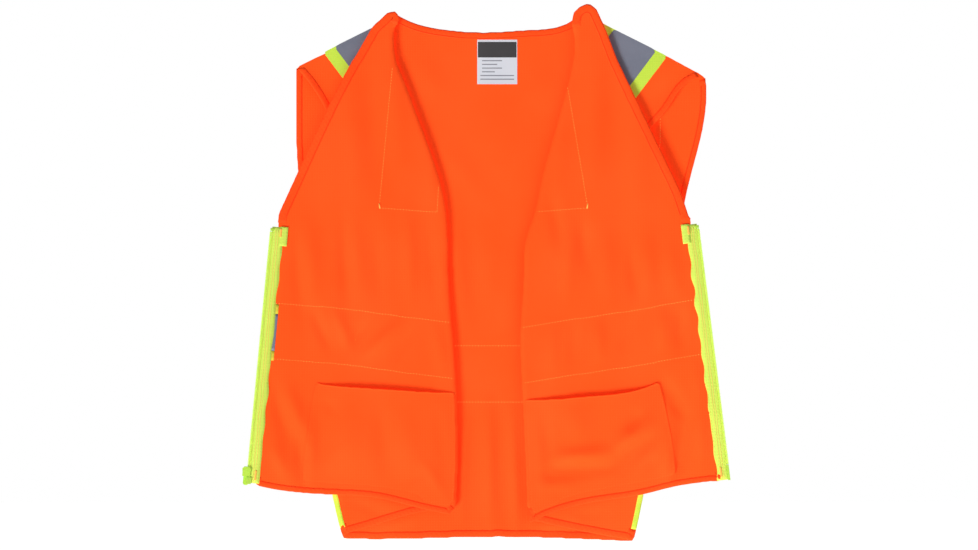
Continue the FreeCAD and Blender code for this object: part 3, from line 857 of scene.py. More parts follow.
def run_on(line, inner, outer):
    """A polyline carried on at both ends by set lengths."""
    head = line[0] - line[min(4, len(line) - 1)]
    tail = line[-1] - line[max(-5, -len(line))]
    head = line[0] + head / np.linalg.norm(head) * inner
    tail = line[-1] + tail / np.linalg.norm(tail) * outer
    return np.vstack([head, line, tail])


def clip_line(line, mask, step=2 * MM):
    """The longest stretch of a polyline that lies over a mask."""
    points = resample(line, step)
    inside = in_mask(mask, points)
    best, start = (0, 0), None
    for k, value in enumerate(list(inside) + [False]):
        if value and start is None:
            start = k
        if not value and start is not None:
            if k - start > best[1] - best[0]:
                best = (start, k)
            start = None
    return points[best[0]:best[1]]


# The shoulder seam, from the neck to the tip of the armhole.
SHOULDER_LINE = {"right": ((212.6, 666.5), (260, 643.5)), "left": ((238, 661.5), (293.6, 631.5))}


def trim_shoulder(mask, side):
    """Cuts a mask straight along the shoulder seam."""
    start, end = SHOULDER_LINE[side]
    rows, columns = np.nonzero(mask)
    x, z = cell_point(columns, rows)
    x = x * SIGN[side] / MM
    height = (z - HEM_LEVEL) / MM
    slope = (end[1] - start[1]) / (end[0] - start[0])
    above = (x > start[0] - 4) & (height > start[1] + slope * (x - start[0]))
    mask[rows[above], columns[above]] = False
    return mask


def folds_on(side, folds):
    """Folds in pattern millimetres turned into flat space; a height below zero is a hollow."""
    return [(at(side, *start), at(side, *end), width * MM, height * MM)
            for start, end, width, height in folds]


def shape(names, side=None, polygons=(), reach=3):
    """The closed outline of some nodes, with polygons added."""
    mask = mask_of(names, SIGN[side] if side else None)
    for polygon in polygons:
        fill_polygon(mask, np.array(polygon))
    return close_gaps(mask, reach)


def keep_depth(cloth, shallow, deep):
    """Holds the cloth between two depths, so that layers stay apart."""
    cloth.space[:, 1] = -np.clip(-cloth.space[:, 1], shallow, deep)
    cloth.refresh_normals()


# ---------------------------------------------------------------- back

BACK_FOLDS = [
    ((0, 195), (4, 15), 8, 4.2), ((17, 190), (24, 20), 7, -2.2), ((32, 185), (40, 10), 6, 3.8),
    ((-17, 190), (-24, 20), 8, -2.0), ((-30, 170), (-36, 40), 6, 3.2),
    ((-44, 440), (-34, 300), 10, 2.0), ((-22, 430), (-14, 300), 10, -1.4),
    ((40, 400), (22, 300), 12, 2.2), ((8, 420), (2, 320), 14, 1.6),
    ((-60, 540), (-10, 470), 16, 1.6), ((60, 560), (20, 480), 16, 1.8),
    ((90, 640), (60, 590), 18, 1.4), ((-95, 660), (-60, 600), 16, 1.6),
    ((0, 610), (6, 520), 26, 1.6), ((-150, 22), (-90, 40), 7, 2.0),
    ((120, 30), (60, 26), 6, 2.4), ((150, 18), (70, 16), 5, -1.2),
]

BACK_NODES = ["back_panel", "neck_binding", "back_hem_binding", "back_armhole_bindings"]
back_mask = trim_shoulder(trim_shoulder(shape(BACK_NODES), "right"), "left")
back = Cloth(back_mask, BACK_DEPTH, 6 * MM)
back.depth += np.maximum(fold_heights(back.flat, folds_on("left", BACK_FOLDS)), -0.8 * MM)
back.update()
FRONT_NODES = ["_front_panel", "_vneck_binding", "_front_hem_binding", "_front_fold"]


def front_shape(side):
    """The outline of a turned-over front, carried on under its zip tape."""
    zip_line = ZIPS[side]
    seam = [zip_line.at(share * zip_line.length, inset * MM)
            for share, inset in ((0, 12), (0, 22), (1, 22), (1, 12))]
    return shape([side + n for n in FRONT_NODES], side, [pattern(side, NECK_CORNER[side]), seam])


FRONT_MASKS = {s: front_shape(s) for s in SIGN}
# The outline, and the cloth well under the fronts, stay where they are.
covered = FRONT_MASKS["right"] | FRONT_MASKS["left"]
deep_covered = ~spread(~covered, 12)
back_pins = np.where(in_mask(deep_covered, back.flat), 1.0, 0.0)
back_pins[:len(back.loop)] = 1.0
relax(back, back_pins, (0.010, 0.004), 24, 3 * MM)
keep_depth(back, -0.6 * MM, 4.2 * MM)
stand_in(shell("back_cloth", back, ORANGE, "back"), "orange_cloth", "back_panel")


def edge_run(cloth, name, side=None, reach=5, extra=None):
    """Loop indices of a cloth that lie on a binding node, with any extra stretch."""
    wanted = in_mask(spread(mask_of([name], SIGN[side] if side else None), reach), cloth.loop)
    if "armhole" in name:
        tip = above_hem(SHOULDER_LINE[side][1][1] + 2)
        wanted &= (cloth.inward[:, 1] > -0.45) & (cloth.loop[:, 1] < tip)
    if extra is not None:
        wanted |= extra
    return longest_run(wanted)


def bound(name, cloth, indices, width, zone, nodes, seed):
    """An orange edge binding, with a dark ribbon of painted shadow along its inner edge."""
    piece = binding(name, cloth, indices, width, zone, PIPING, seed)
    stand_in(piece, "orange_binding", *nodes)
    # A dark ribbon of painted shadow along the binding's inner edge.
    seam = (cloth.loop[indices] + cloth.inward[indices] * (width - 1.6 * MM))[2:-2]
    ribbon(name + "_seam", cloth, seam, 0.9 * MM, 0.6 * MM, 0.4 * MM, EDGE_SHADE, zone)


TRIMS = {"lime": (LIME, "lime_trim"), "silver": (SILVER, "silver_tape"),
         "orange": (ORANGE, "orange_cloth")}


def trim(cloth, node, kind, offset, zone, side=None, thickness=0.4):
    """A node's flat trim, offset above its cloth in millimetres, negative on the far face.

    Where a node has both sides' trim, side picks one, and the left piece stands in for the node.
    """
    material, slot = TRIMS[kind]
    piece = overlay((side + "_" if side else "") + node + "_trim", cloth,
                    shape([node], side, reach=1), offset * MM, thickness * MM, material, zone)
    stand_in(piece, slot, *([] if side == "right" else [node]))


bound("neck_edge", back, edge_run(back, "neck_binding"), 9 * MM, "back", ["neck_binding"], 1)
bound("back_hem_edge", back, edge_run(back, "back_hem_binding"), 9 * MM, "back",
      ["back_hem_binding"], 2)
for side in SIGN:
    nodes = ["back_armhole_bindings"] if side == "left" else []
    bound(side + "_back_armhole_edge", back, edge_run(back, "back_armhole_bindings", side), 8 * MM,
          "back", nodes, 3)


def side_edges(name, side):
    """The two long edges of an upright stripe node."""
    mask = mask_of([name], SIGN[side])
    rows = np.nonzero(mask.sum(1) > 20)[0][4:-4:6]
    return [[cell_point(np.nonzero(mask[row])[0][end], row) for row in rows] for end in (0, -1)]


back_lines = [clip_line(band_edge("back_waist_lime_band", upper), back.mask)
              for upper in (True, False)]
for side in SIGN:
    back_lines += side_edges("back_lime_stripes", side)
stitches("back_stitching", back, back_lines, THREAD, "back")

trim(back, "back_waist_lime_band", "lime", -0.55, "back")
trim(back, "back_waist_silver_tape", "silver", -0.95, "back")
for side in SIGN:
    trim(back, "back_lime_stripes", "lime", -0.55, "back", side)
    trim(back, "back_silver_stripes", "silver", -0.95, "back", side)


# ---------------------------------------------------------------- neck label

def panel_rows(low, high, step=4 * MM):
    """Rows of flat points that fill an upright rectangle."""
    columns = max(2, int((high[0] - low[0]) / step) + 1)
    height = max(2, int((high[1] - low[1]) / step) + 1)
    return [np.column_stack([np.linspace(low[0], high[0], columns), np.full(columns, z)])
            for z in np.linspace(low[1], high[1], height)]


def label_patch(name, low, high, offset, thickness, material):
    """A flat rectangle on the back's inner face; offset and thickness in millimetres."""
    return laid_strip(name, back, panel_rows(low, high), offset * MM, thickness * MM, material,
                      "back", smooth=False)


def label_box(node):
    """The lower and the upper corner of a node, flattened on to (x, z)."""
    low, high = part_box(node)
    return np.array((low[0], low[2])), np.array((high[0], high[2]))


low, high = label_box("neck_label")
stand_in(label_patch("label_body", low, high, 0.45, 0.45, LABEL), "label_white", "neck_label")
head_low, head_high = label_box("neck_label_header")
stand_in(label_patch("label_header", head_low, head_high, 0.92, 0.1, HEADER), "label_header",
         "neck_label_header")
# Plain bars stand in for the label's lines: start and end as shares of the label's width.
LABEL_BARS = ((0.12, 0.62), (0.12, 0.50), (0.12, 0.62), (0.12, 0.44), (0.08, 0.92), (0.08, 0.92))
BAR_PITCH = 5.0 * MM
BAR_HEIGHT = 1.3 * MM
width = high[0] - low[0]
for number, (start, end) in enumerate(LABEL_BARS, 1):
    level = head_low[1] - BAR_PITCH * number
    bar_low = np.array((low[0] + start * width, level))
    bar_high = np.array((low[0] + end * width, level + BAR_HEIGHT))
    label_patch("label_bar_%d" % number, bar_low, bar_high, 0.92, 0.06, BARS)
stitches("label_stitching", back, [
    [low + (1.2 * MM, 1.2 * MM), (high[0] - 1.2 * MM, low[1] + 1.2 * MM)],
    [(low[0] + 1.2 * MM, high[1] - 1.2 * MM), high - 1.2 * MM],
], BARS, "back", offset=0.95 * MM, width=0.35 * MM)


# ---------------------------------------------------------------- under layer: strap and side

ROLL_LEVELS = (44 * MM, 698 * MM)       # the rolled edge's lower and upper end above the hem
ROLL_NEAR_NECK = 620 * MM               # from here up the roll wanders further off its axis


def on_roll(hinge):
    """Picks loop points along the rolled edge: beside the fold axis and facing outwards."""
    outward = np.array((hinge.outward.x, hinge.outward.z))

    def pick(loop, inward):
        height = loop[:, 1] - HEM_LEVEL
        reach = np.where(height > ROLL_NEAR_NECK, 18 * MM, 6 * MM)
        return (hinge.distance(loop) < reach) & (inward @ outward > 0.3) & (
            height > ROLL_LEVELS[0]) & (height < ROLL_LEVELS[1])
    return pick


def under_shape(side):
    """The outline of a strap and side panel, joined across the side fold."""
    outer, inner = SIDE_FOLD[side], LOWER_FOLD[side]
    bridge = axis_run(outer, 640, 120, -12 * MM) + axis_run(outer, 640, 120, 9 * MM)[::-1]
    foot = axis_run(outer, 135, 8, -14 * MM) + axis_run(outer, 135, 8, 16 * MM)[::-1]
    neck = pattern(side, NECK_CORNER[side][:6]) + axis_run(outer, 702, 560, -12 * MM)
    names = [side + "_shoulder_strap", "strap_armhole_bindings", side + "_side_panel",
             side + "_side_hem_binding", side + "_front_fold"]
    mask = shape(names, side, [bridge, foot, neck], reach=4)
    low_rows = int((above_hem(140) - LOW_Z) / CELL)
    mask[:low_rows] &= back.mask[:low_rows]
    return trim_shoulder(mask, side)


UNDER_FOLDS = {
    "right": [((215, 690), (150, 560), 14, 1.0), ((262, 640), (212, 560), 15, 4.6),
              ((232, 634), (196, 560), 12, -1.6),
              ((150, 60), (110, 50), 8, 1.1), ((185, 60), (140, 40), 6, -0.9)],
    "left": [((250, 655), (228, 600), 10, 1.6), ((292, 636), (226, 545), 17, 5.6),
             ((262, 640), (218, 590), 12, -2.0),
             ((170, 60), (110, 44), 8, 1.1), ((150, 26), (90, 44), 6, 1.0)],
}


def build_under(side):
    """One strap and side panel with their bindings and trim."""
    pick = on_roll(LOWER_FOLD[side])
    cloth = Cloth(under_shape(side), UNDER_DEPTH, 6 * MM, pick)
    cloth.depth += fold_heights(cloth.flat, folds_on(side, UNDER_FOLDS[side]))
    cloth.update()
    roll = pick(cloth.loop, cloth.inward)
    outward = np.array((SIGN[side], 0))
    side_edge = (cloth.inward @ outward < -0.5) & (cloth.loop[:, 1] < above_hem(430))
    roll_edge(cloth, side_edge, SIDE_FOLD_DEPTH, 4 * MM)
    roll_edge(cloth, roll, ROLL_DEPTH, 8 * MM)
    strap = split_share(side, cloth.flat) > 0
    piece = shell(side + "_strap_cloth", cloth, ORANGE, side + ":strap", keep=strap)
    stand_in(piece, "orange_cloth", side + "_shoulder_strap")
    piece = shell(side + "_side_cloth", cloth, ORANGE, side + ":under", keep=~strap)
    stand_in(piece, "orange_cloth", side + "_side_panel", side + "_front_fold")

    nodes = ["strap_armhole_bindings"] if side == "left" else []
    bound(side + "_strap_edge", cloth, edge_run(cloth, "strap_armhole_bindings", side), 8 * MM,
          side + ":strap", nodes, 5)
    nodes = [side + "_side_hem_binding"]
    bound(side + "_side_hem_edge", cloth, edge_run(cloth, nodes[0], side), 9 * MM,
          side + ":under", nodes, 6)

    trim(cloth, "shoulder_lime_stripes", "lime", 0.55, side + ":strap", side)
    trim(cloth, "shoulder_silver_stripes", "silver", 0.95, side + ":strap", side)
    trim(cloth, side + "_side_lime_band", "lime", 0.55, side + "_side")
    trim(cloth, side + "_side_silver_tape", "silver", 0.95, side + "_side")
    low_side = (cloth.inward @ outward < -0.4) & (cloth.loop[:, 1] > above_hem(19))
    run = longest_run(low_side & (cloth.loop[:, 1] < above_hem(112)))
    strip = cloth.loop[run] + cloth.inward[run] * 3.0 * MM
    piece = ribbon(side + "_side_seam_tape", cloth, strip, 7 * MM, 0.4 * MM, 0.5 * MM, LIME,
                   side + ":strap")
    stand_in(piece, "lime_trim")


for side in SIGN:
    build_under(side)


# ---------------------------------------------------------------- fronts, turned inside out

FRONT_FOLDS = {
    "right": [
        ((160, 650), (146, 480), 16, -2.0), ((185, 630), (178, 460), 17, 2.6),
        ((128, 650), (118, 500), 13, 1.9), ((205, 580), (214, 430), 18, 2.0),
        ((257, 415), (250, 300), 9, -2.8), ((240, 430), (236, 330), 12, 3.0),
        ((193, 440), (190, 318), 8, -2.6), ((178, 440), (172, 330), 11, 2.6),
        ((150, 430), (146, 320), 9, -1.8), ((106, 450), (104, 330), 10, 3.0),
        ((80, 440), (70, 320), 8, -1.6), ((236, 320), (212, 262), 7, -2.2),
        ((206, 318), (184, 262), 8, 2.6), ((163, 304), (190, 262), 6, -2.4),
        ((118, 302), (168, 250), 8, 3.2), ((100, 296), (130, 246), 7, -2.0),
        ((70, 300), (60, 230), 9, 2.0), ((292, 218), (262, 126), 11, -3.2),
        ((270, 215), (246, 140), 11, 3.6), ((254, 158), (250, 82), 7, -3.0),
        ((238, 180), (238, 90), 8, 3.6), ((290, 140), (270, 90), 9, 2.4),
        ((280, 380), (286, 300), 9, 2.0), ((56, 560), (80, 470), 7, 1.6),
    ],
    "left": [
        ((150, 670), (138, 500), 15, 2.2), ((178, 640), (165, 490), 16, -1.7),
        ((205, 590), (200, 440), 18, 2.2), ((100, 570), (92, 470), 10, 1.3),
        ((129, 440), (132, 372), 9, -3.2), ((110, 430), (106, 330), 10, 2.8),
        ((88, 470), (98, 400), 9, -2.6), ((160, 430), (160, 330), 13, 2.8),
        ((195, 400), (200, 335), 8, -2.8), ((216, 420), (214, 330), 12, 3.0),
        ((245, 410), (252, 330), 11, 2.4), ((262, 322), (258, 262), 8, -3.4),
        ((238, 318), (234, 262), 9, 2.6), ((200, 316), (176, 258), 8, -1.8),
        ((150, 304), (148, 246), 9, 2.6), ((120, 300), (112, 240), 7, -1.8),
        ((90, 296), (84, 230), 8, 1.8), ((234, 226), (268, 169), 10, -3.6),
        ((268, 172), (254, 90), 8, -4.4), ((292, 206), (286, 110), 12, 3.6),
        ((246, 170), (240, 96), 9, 3.6), ((282, 250), (290, 190), 9, 2.0),
    ],
}
FOLD_GAIN = 1.3                 # scales the heights in FRONT_FOLDS
POCKET_GAIN = 1.75              # scales those in POCKET_FOLDS
TAPE_WIDTH = 10 * MM            # the cloth starts this far in from the closing edge
POCKET_FOLDS = {
    "right": [((143, 190), (138, 82), 12, -2.0), ((110, 190), (104, 80), 16, 1.6),
              ((190, 190), (186, 90), 18, 1.8), ((66, 180), (54, 80), 7, -1.8),
              ((84, 110), (58, 70), 8, 1.6), ((120, 78), (84, 100), 6, -1.4),
              ((226, 200), (206, 180), 8, -1.4)],
    "left": [((74, 98), (166, 104), 9, -4.6), ((166, 104), (226, 150), 9, -5.0),
             ((84, 118), (170, 124), 11, 3.8), ((170, 126), (222, 176), 12, 4.0),
             ((61, 188), (72, 60), 6, 3.4), ((76, 180), (88, 80), 8, -2.2),
             ((176, 78), (200, 132), 8, -3.8), ((208, 184), (190, 150), 10, -3.0),
             ((120, 194), (118, 130), 20, 2.4), ((212, 90), (226, 124), 7, -2.8),
             ((60, 84), (150, 72), 8, 2.4)],
}


def front_cloth(side):
    """The cloth of a turned-over front, and which of its outline points lie on the roll."""
    zip_line = ZIPS[side]
    mask = FRONT_MASKS[side].copy()
    rows, columns = np.nonzero(mask)
    inset, height = zip_line.inset(np.column_stack(cell_point(columns, rows)))
    gone = (inset < TAPE_WIDTH) & (height > -20 * MM)
    mask[rows[gone], columns[gone]] = False
    pick = on_roll(UPPER_FOLD[side])
    cloth = Cloth(mask, FRONT_DEPTH, 5.5 * MM, pick)
    roll = pick(cloth.loop, cloth.inward)
    near_zip = zip_line.inset(cloth.flat)[0] - TAPE_WIDTH
    calm = smooth_step(near_zip / (26 * MM)) * smooth_step(edge_distance(cloth, roll) / (16 * MM))
    heights = fold_heights(cloth.flat, folds_on(side, FRONT_FOLDS[side]))
    heights += 0.5 * MM * ripple(cloth.flat, 90 * MM, 5 + SIGN[side])
    cloth.depth += FOLD_GAIN * heights * calm
    cloth.update()
    pins = np.where(near_zip < 8 * MM, 1.0, 0.0)
    pins[edge_distance(cloth, roll) < 8 * MM] = 1.0
    relax(cloth, pins, (0.008, 0.003), 28, 5 * MM)
    keep_depth(cloth, 9.2 * MM, 24 * MM)
    cloth.depth = -cloth.space[:, 1]
    shift = cloth.space[:, [0, 2]] - cloth.flat
    roll_edge(cloth, roll, ROLL_DEPTH, 7 * MM)
    cloth.space[:, [0, 2]] += shift
    cloth.refresh_normals()
    return cloth, roll


def front_seams(side, cloth):
    """The seams of the outer bands and of the chest pocket, which show on the inner face too.

    Gives them as flat polylines, and the pocket's lower outer corner.
    """
    inner_part = ~spread(~cloth.mask, 2)
    lines = []
    for upper in (True, False):
        line = run_on(band_edge(side + "_front_lime_band", upper), 60 * MM, 20 * MM)
        lines.append(clip_line(line, inner_part))
    pocket = mask_of([side + "_chest_pocket"])
    outer_edge = []
    for row in np.nonzero(pocket.sum(1))[0][3:-3:5]:
        columns = np.nonzero(pocket[row])[0]
        outer_edge.append(cell_point(columns[-1] if side == "left" else columns[0], row))
    foot, head = np.array(outer_edge[0]), np.array(outer_edge[-1])
    climb = (head - foot) / np.linalg.norm(head - foot)
    lines.append(clip_line([foot, head + climb * 105 * MM], cloth.mask))
    inner_foot = foot + (-SIGN[side] * 78 * MM, -6 * MM)
    lines.append(clip_line([foot, inner_foot, inner_foot + (SIGN[side] * -2 * MM, 36 * MM)],
                           inner_part))
    return lines, foot


def build_front(side):
    """One front with its bindings, its stitching and the trim on its outer face."""
    cloth, roll = front_cloth(side)
    zone = side + ":front"
    stand_in(shell(side + "_front_cloth", cloth, ORANGE, zone), "orange_cloth",
             side + "_front_panel")

    neck = (cloth.loop[:, 1] > above_hem(640)) & ~roll
    edge = edge_run(cloth, side + "_vneck_binding", side, 6, neck)
    bound(side + "_vneck_edge", cloth, edge, 11 * MM, zone, [side + "_vneck_binding"], 8)
    low_edge = (cloth.inward[:, 1] > 0.4) & (cloth.loop[:, 1] < above_hem(95))
    edge = edge_run(cloth, side + "_front_hem_binding", side, 6, low_edge)
    bound(side + "_front_hem_edge", cloth, edge, 7.5 * MM, zone, [side + "_front_hem_binding"], 9)

    lines, foot = front_seams(side, cloth)
    stitches(side + "_front_stitching", cloth, lines, THREAD, zone)
    bar = np.array([foot + (-SIGN[side] * 1.0 * MM, -1.0 * MM), foot + (0, 6 * MM)])
    laid_strip(side + "_pocket_bartack", cloth, [bar + (d * MM, 0) for d in (-0.8, 0, 0.8)],
               0.4 * MM, 0.7 * MM, THREAD, zone)

    trim(cloth, side + "_front_lime_band", "lime", -0.55, zone)
    trim(cloth, side + "_front_silver_tape", "silver", -0.95, zone)
    trim(cloth, side + "_chest_pocket", "orange", -0.7, zone, thickness=0.6)
    trim(cloth, side + "_chest_lime_stripe", "lime", -1.2, zone)
    trim(cloth, side + "_chest_silver_stripe", "silver", -1.6, zone)
    return cloth


fronts = {side: build_front(side) for side in SIGN}


# ---------------------------------------------------------------- inner pockets

POCKET_GAP = 0.9 * MM           # between the middles of the pocket's and the front's cloth


def pocket_shape(side, cloth):
    """The pocket node's outline, carried on from its inner edge to the roll."""
    mask = mask_of([side + "_inner_pocket"])
    inner_end = -1 if side == "right" else 0
    rows = np.nonzero(mask.sum(1) > 20)[0]
    inner = np.array([np.nonzero(mask[row])[0][inner_end] for row in rows])
    middle_row = len(rows) // 2
    beyond = np.abs(inner - inner[middle_row]) < 14
    ends = []
    for row, cell in ((rows[beyond][-1], inner[beyond][-1]), (rows[beyond][0], inner[beyond][0])):
        drop = 2 * (row == rows[beyond][-1])
        roll_cell = np.nonzero(cloth.mask[row - drop])[0][inner_end]
        ends.append((cell_point(cell, row), cell_point(roll_cell, row - drop)))
    (top_inner, top_roll), (low_inner, low_roll) = ends
    back_step = (SIGN[side] * 12 * MM, 0)
    foot = -25 * MM
    fill_polygon(mask, np.array([np.add(top_inner, back_step), top_roll,
                                 np.add(low_roll, (0, foot)), np.add(low_inner, (0, foot)),
                                 np.add(low_inner, back_step)]))
    hem_zone = ~np.roll(cloth.mask, 9, 0)
    mask = close_gaps(mask, 2) & ~spread(~cloth.mask, 3)
    return mask & ~hem_zone


def build_pocket(side, cloth):
    """A lower inner pocket: sewn down all round but for its slack, open mouth."""
    zone = side + ":front"
    pocket = Cloth(pocket_shape(side, cloth), 0.0, 5.5 * MM)
    mouth = (pocket.inward[:, 1] < -0.6) & (pocket.loop[:, 1] > above_hem(185))
    closed_gap = edge_distance(pocket, ~mouth)
    mouth_gap = edge_distance(pocket, mouth)
    full = 1 - np.exp(-((closed_gap / (32 * MM)) ** 1.5))
    rise = (3.8 + 2.8 * np.exp(-mouth_gap / (45 * MM))) * MM * full
    rise += POCKET_GAIN * fold_heights(pocket.flat, folds_on(side, POCKET_FOLDS[side])) * full
    rise += 0.3 * MM * ripple(pocket.flat, 70 * MM, 31 + SIGN[side]) * full
    base = -cloth.lift(pocket.flat)[:, 1]
    calm_base = np.maximum(base, FRONT_DEPTH - 0.5 * MM) * (1 - 0.5 * full)
    calm_base += FRONT_DEPTH * 0.5 * full
    pocket.depth = np.maximum(calm_base + POCKET_GAP + rise, base + POCKET_GAP)
    pocket.update()
    pins = np.where(closed_gap < 4 * MM, 1.0, 0.0)
    relax(pocket, pins, (0.010, 0.006), 26, 4 * MM)
    keep_depth(pocket, -cloth.lift(pocket.flat)[:, 1] + 0.8 * MM, 30 * MM)
    piece = shell(side + "_inner_pocket_cloth", pocket, ORANGE, zone, thickness=0.8 * MM)
    stand_in(piece, "orange_cloth", side + "_inner_pocket")
    binding(side + "_pocket_mouth_edge", pocket, longest_run(mouth), 2.2 * MM, zone, ORANGE, 11,
            0.75 * MM)
    closed = longest_run(~mouth)
    seam = pocket.loop[closed] + pocket.inward[closed] * 1.8 * MM
    stitches(side + "_pocket_seam", pocket, [seam[2:-2]], POCKET_THREAD, zone, offset=0.45 * MM,
             width=0.9 * MM)


for side in SIGN:
    build_pocket(side, fronts[side])


# ---------------------------------------------------------------- zip tapes, coils and ends

def zip_solid(name, side, rows, depths, thickness, material):
    """A thin solid in zip space. Rows run up the zip as (height, inset); each row has its depth.

    Depths and thickness are in millimetres.
    """
    sheet = []
    for row, depth in zip(rows, depths):
        for height, inset in row:
            x, z = ZIPS[side].at(height, inset)
            sheet.append((x, -(depth * MM), z))
    sheet = np.array(sheet)
    verts = np.vstack([sheet - (0, thickness * MM, 0), sheet])
    return new_piece(name, verts, slab_faces(len(rows), len(rows[0])), material, side + "_front")


ROW_POINTS = 90


def upright(length, inset, wobble=0.0, seed=0, start=0.0):
    """A row of zip-space points up the tape, with a gentle wobble of its inset."""
    heights = np.linspace(start, length, ROW_POINTS)
    rng = np.random.default_rng(seed)
    drift = np.zeros(ROW_POINTS)
    for _ in range(5):
        drift += np.sin(heights * rng.uniform(40, 190) + rng.uniform(0, 6))
    return list(zip(heights, inset + wobble * drift / 2))


COIL_PITCH = 1.3 * MM
TURN_POINTS = 10
FILAMENT_RING = 5
FILAMENT_RADIUS = 0.42 * MM
COIL_START = 20 * MM            # how far up the tape the coil starts


def coil(side):
    """The nylon coil: one long helix, flattened, sewn along the tape's closing edge."""
    zip_line = ZIPS[side]
    turns = int((zip_line.length - 6 * MM - COIL_START) / COIL_PITCH)
    phase = 0.5 if side == "left" else 0.0
    sideways = Vector((zip_line.inward[0], 0, zip_line.inward[1]))
    rise = Vector((zip_line.up[0], 0, zip_line.up[1]))
    verts = []
    for k in range(turns * TURN_POINTS):
        turn = k / TURN_POINTS
        angle = 2 * math.pi * turn
        inset = 1.15 * MM - 1.55 * MM * math.cos(angle)
        depth = FRONT_DEPTH + 0.95 * MM * math.sin(angle)
        x, z = zip_line.at(COIL_START + (turn + phase) * COIL_PITCH, inset)
        centre = Vector((x, -depth, z))
        radial = (sideways * -math.cos(angle) + Vector((0, -1, 0)) * math.sin(angle)).normalized()
        for r in range(FILAMENT_RING):
            a = 2 * math.pi * r / FILAMENT_RING
            verts.append(centre + (radial * math.cos(a) + rise * math.sin(a)) * FILAMENT_RADIUS)
    faces = tube_faces(turns * TURN_POINTS, FILAMENT_RING)
    return new_piece(side + "_coil_turns", verts, faces, COIL, side + "_front")


def build_zip(side, cloth):
    """One zip half: tape, coil, seams, turned-over top end and bartacks."""
    zip_line = ZIPS[side]
    top = zip_line.length
    rows = [upright(top, inset * MM) for inset in (2.4, 6.0, 9.0, 12.0)]
    rows.append(upright(top, 17.4 * MM, 1.0 * MM, 3 + SIGN[side]))
    piece = zip_solid(side + "_tape", side, rows, (13.1, 13.3, 13.6, 13.85, 13.9), 0.65, LIME_TAPE)
    stand_in(piece, "zip_tape", side + "_zip_tape")
    stand_in(coil(side), "zip_plastic", side + "_zip_coil")
    cord = [upright(top - 5 * MM, inset * MM, start=COIL_START) for inset in (3.0, 3.6, 4.2)]
    zip_solid(side + "_coil_seam", side, cord, (13.75, 13.85, 13.75), 0.3, COIL_SEAM)
    for number, (inset, base) in enumerate(((8.2, 14.05), (11.2, 14.3))):
        line = [upright(top - 4 * MM, (inset + shift) * MM, 0.3 * MM, 40 + number, 3 * MM)
                for shift in (-0.45, 0.45)]
        zip_solid(side + "_tape_line_%d" % (number + 1), side, line, (base, base), 0.3, TAPE_LINE)
    for name, inset, material in (("_tape_stitching", 15.9, LIME_THREAD),
                                  ("_tape_seam", 12.6, LIME_TAPE)):
        seam = [zip_line.at(h, inset * MM) for h in np.linspace(2 * MM, top - 2 * MM, 60)]
        stitches(side + name, cloth, [seam], material, side + ":front", offset=1.15 * MM,
                 width=0.45 * MM)
    turned = [[(h, inset * MM) for h in np.linspace(top - 25 * MM, top + 1.0 * MM, 12)]
              for inset in (13.5, 17, 20.5, 24)]
    piece = zip_solid(side + "_tape_turned_end", side, turned, (14.9, 15.2, 15.1, 14.7), 0.7,
                      LIME_TAPE)
    stand_in(piece, "zip_tape", side + "_tape_tail")
    for number, (low_end, high_end, inset, base) in enumerate(
            ((4.5, 17.5, 11.5, 14.6), (top / MM - 13, top / MM - 2, 14.6, 15.7)), 1):
        grains = [[(h, inset * MM + shift) for h in np.linspace(low_end * MM, high_end * MM, 14)]
                  for shift in (-1.3 * MM, 0.0, 1.3 * MM)]
        zip_solid(side + "_tape_bartack_%d" % number, side, grains, (base, base + 0.35, base), 0.5,
                  THREAD)


for side in SIGN:
    build_zip(side, fronts[side])

# The edge of the outer band shows between the right tape and the lining.
for name, start, length, material, slot in (
        ("low_lime", 167, 13, LIME_THREAD, "lime_trim"),
        ("silver", 180, 50, SILVER, "silver_tape"),
        ("high_lime", 230, 13, LIME_THREAD, "lime_trim")):
    path = [ZIPS["right"].at(h * MM, 19.0 * MM) for h in np.linspace(start, start + length, 10)]
    piece = ribbon("band_edge_" + name, fronts["right"], path, 4.2 * MM, 0.42 * MM, 0.3 * MM,
                   material, "right:front")
    stand_in(piece, slot)

# These pieces are shown as the CAD has them.
for material, names in (
        (ENAMEL, ("slider_body", "pull_tab")),
        (BOX_PLASTIC, ("retainer_box", "box_pin", "insertion_pin", "right_top_stop",
                       "left_top_stop"))):
    for name in names:
        mesh = frame["nodes"][name].data
        mesh.materials.clear()
        mesh.materials.append(material)


# ---------------------------------------------------------------- stage, light and camera

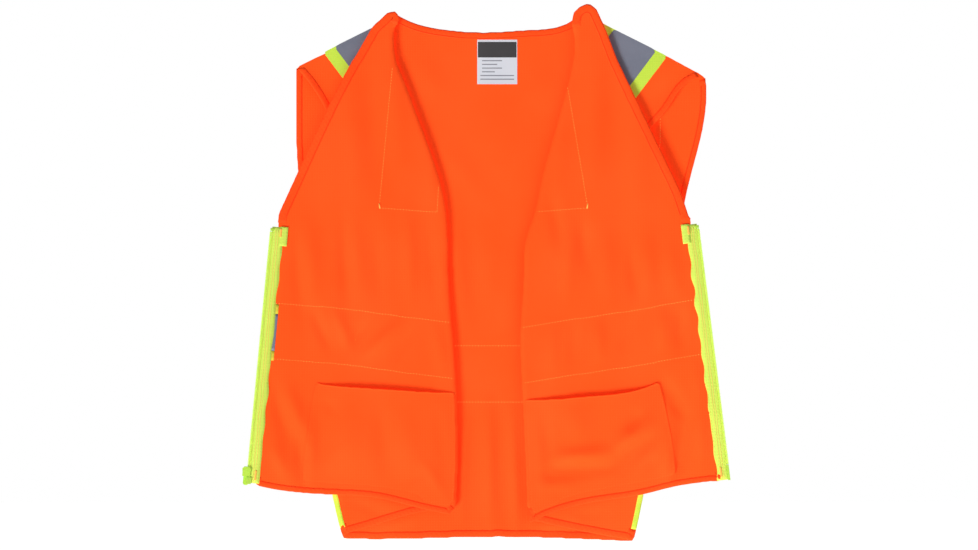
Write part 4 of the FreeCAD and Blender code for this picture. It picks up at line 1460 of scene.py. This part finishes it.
def white_world():
    """Even white light from all round, and a plain white background."""
    world = bpy.data.worlds.new("studio")
    SCENE.world = world
    world.use_nodes = True
    tree = world.node_tree
    tree.nodes.clear()
    rays = add_node(tree, "ShaderNodeLightPath")
    seen = add_node(tree, "ShaderNodeBackground", Strength=1.0)
    seen.inputs["Color"].default_value = (1, 1, 1, 1)
    fill = add_node(tree, "ShaderNodeBackground", Strength=0.09)
    fill.inputs["Color"].default_value = (1, 1, 1, 1)
    mix = add_node(tree, "ShaderNodeMixShader")
    output = add_node(tree, "ShaderNodeOutputWorld")
    tree.links.new(rays.outputs["Is Camera Ray"], mix.inputs["Fac"])
    tree.links.new(fill.outputs[0], mix.inputs[1])
    tree.links.new(seen.outputs[0], mix.inputs[2])
    tree.links.new(mix.outputs[0], output.inputs["Surface"])


def pale_floor():
    """A pale floor just below the hem, which casts no shadow itself."""
    mesh = bpy.data.meshes.new("floor")
    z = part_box("back_panel")[0][2] - 12 * MM
    mesh.from_pydata([(-1.6, -1.2, z), (1.6, -1.2, z), (1.6, 1.2, z), (-1.6, 1.2, z)], [],
                     [(0, 1, 2, 3)])
    floor = bpy.data.objects.new("floor", mesh)
    SCENE.collection.objects.link(floor)
    material, tree, shader, where = start_material("pale_floor", (0.9, 0.9, 0.9), 0.9, 0.55)
    shade_variation(tree, shader, where, (0.9, 0.9, 0.9), (0.88, 0.88, 0.88), 2.0)
    mesh.materials.append(material)
    floor.visible_shadow = False


def sun(name, direction, strength, spread_degrees):
    """A soft distant light; direction points from the vest to the light."""
    lamp = bpy.data.lights.new(name, "SUN")
    lamp.energy = strength
    lamp.angle = math.radians(spread_degrees)
    obj = bpy.data.objects.new(name, lamp)
    obj.rotation_euler = (-Vector(direction)).to_track_quat("-Z", "Y").to_euler()
    SCENE.collection.objects.link(obj)


white_world()
pale_floor()
sun("key", (-0.54, -0.62, -0.57), 2.65, 20)
sun("fill", (0.9, -0.75, 0.25), 0.38, 40)
sun("rear_key", (0.7, 0.7, 0.6), 3.0, 16)
sun("rear_fill", (-0.9, 0.8, 0.1), 0.6, 40)

CAMERA_DISTANCE = 6.0
VIEW_WIDTH = 1.32
AIM_X, AIM_Z = 3.5 * MM, 1.5 * MM       # where the camera aims, from the middle of the vest
low, high = CAD_BOX
camera = bpy.data.cameras.new("camera")
camera.lens = camera.sensor_width * CAMERA_DISTANCE / VIEW_WIDTH
camera_object = bpy.data.objects.new("camera", camera)
camera_object.location = ((low[0] + high[0]) / 2 + AIM_X, -CAMERA_DISTANCE,
                          (low[2] + high[2]) / 2 + AIM_Z)
camera_object.rotation_euler = (math.pi / 2, 0, 0)
SCENE.collection.objects.link(camera_object)
SCENE.camera = camera_object
SCENE.view_settings.view_transform = "Standard"
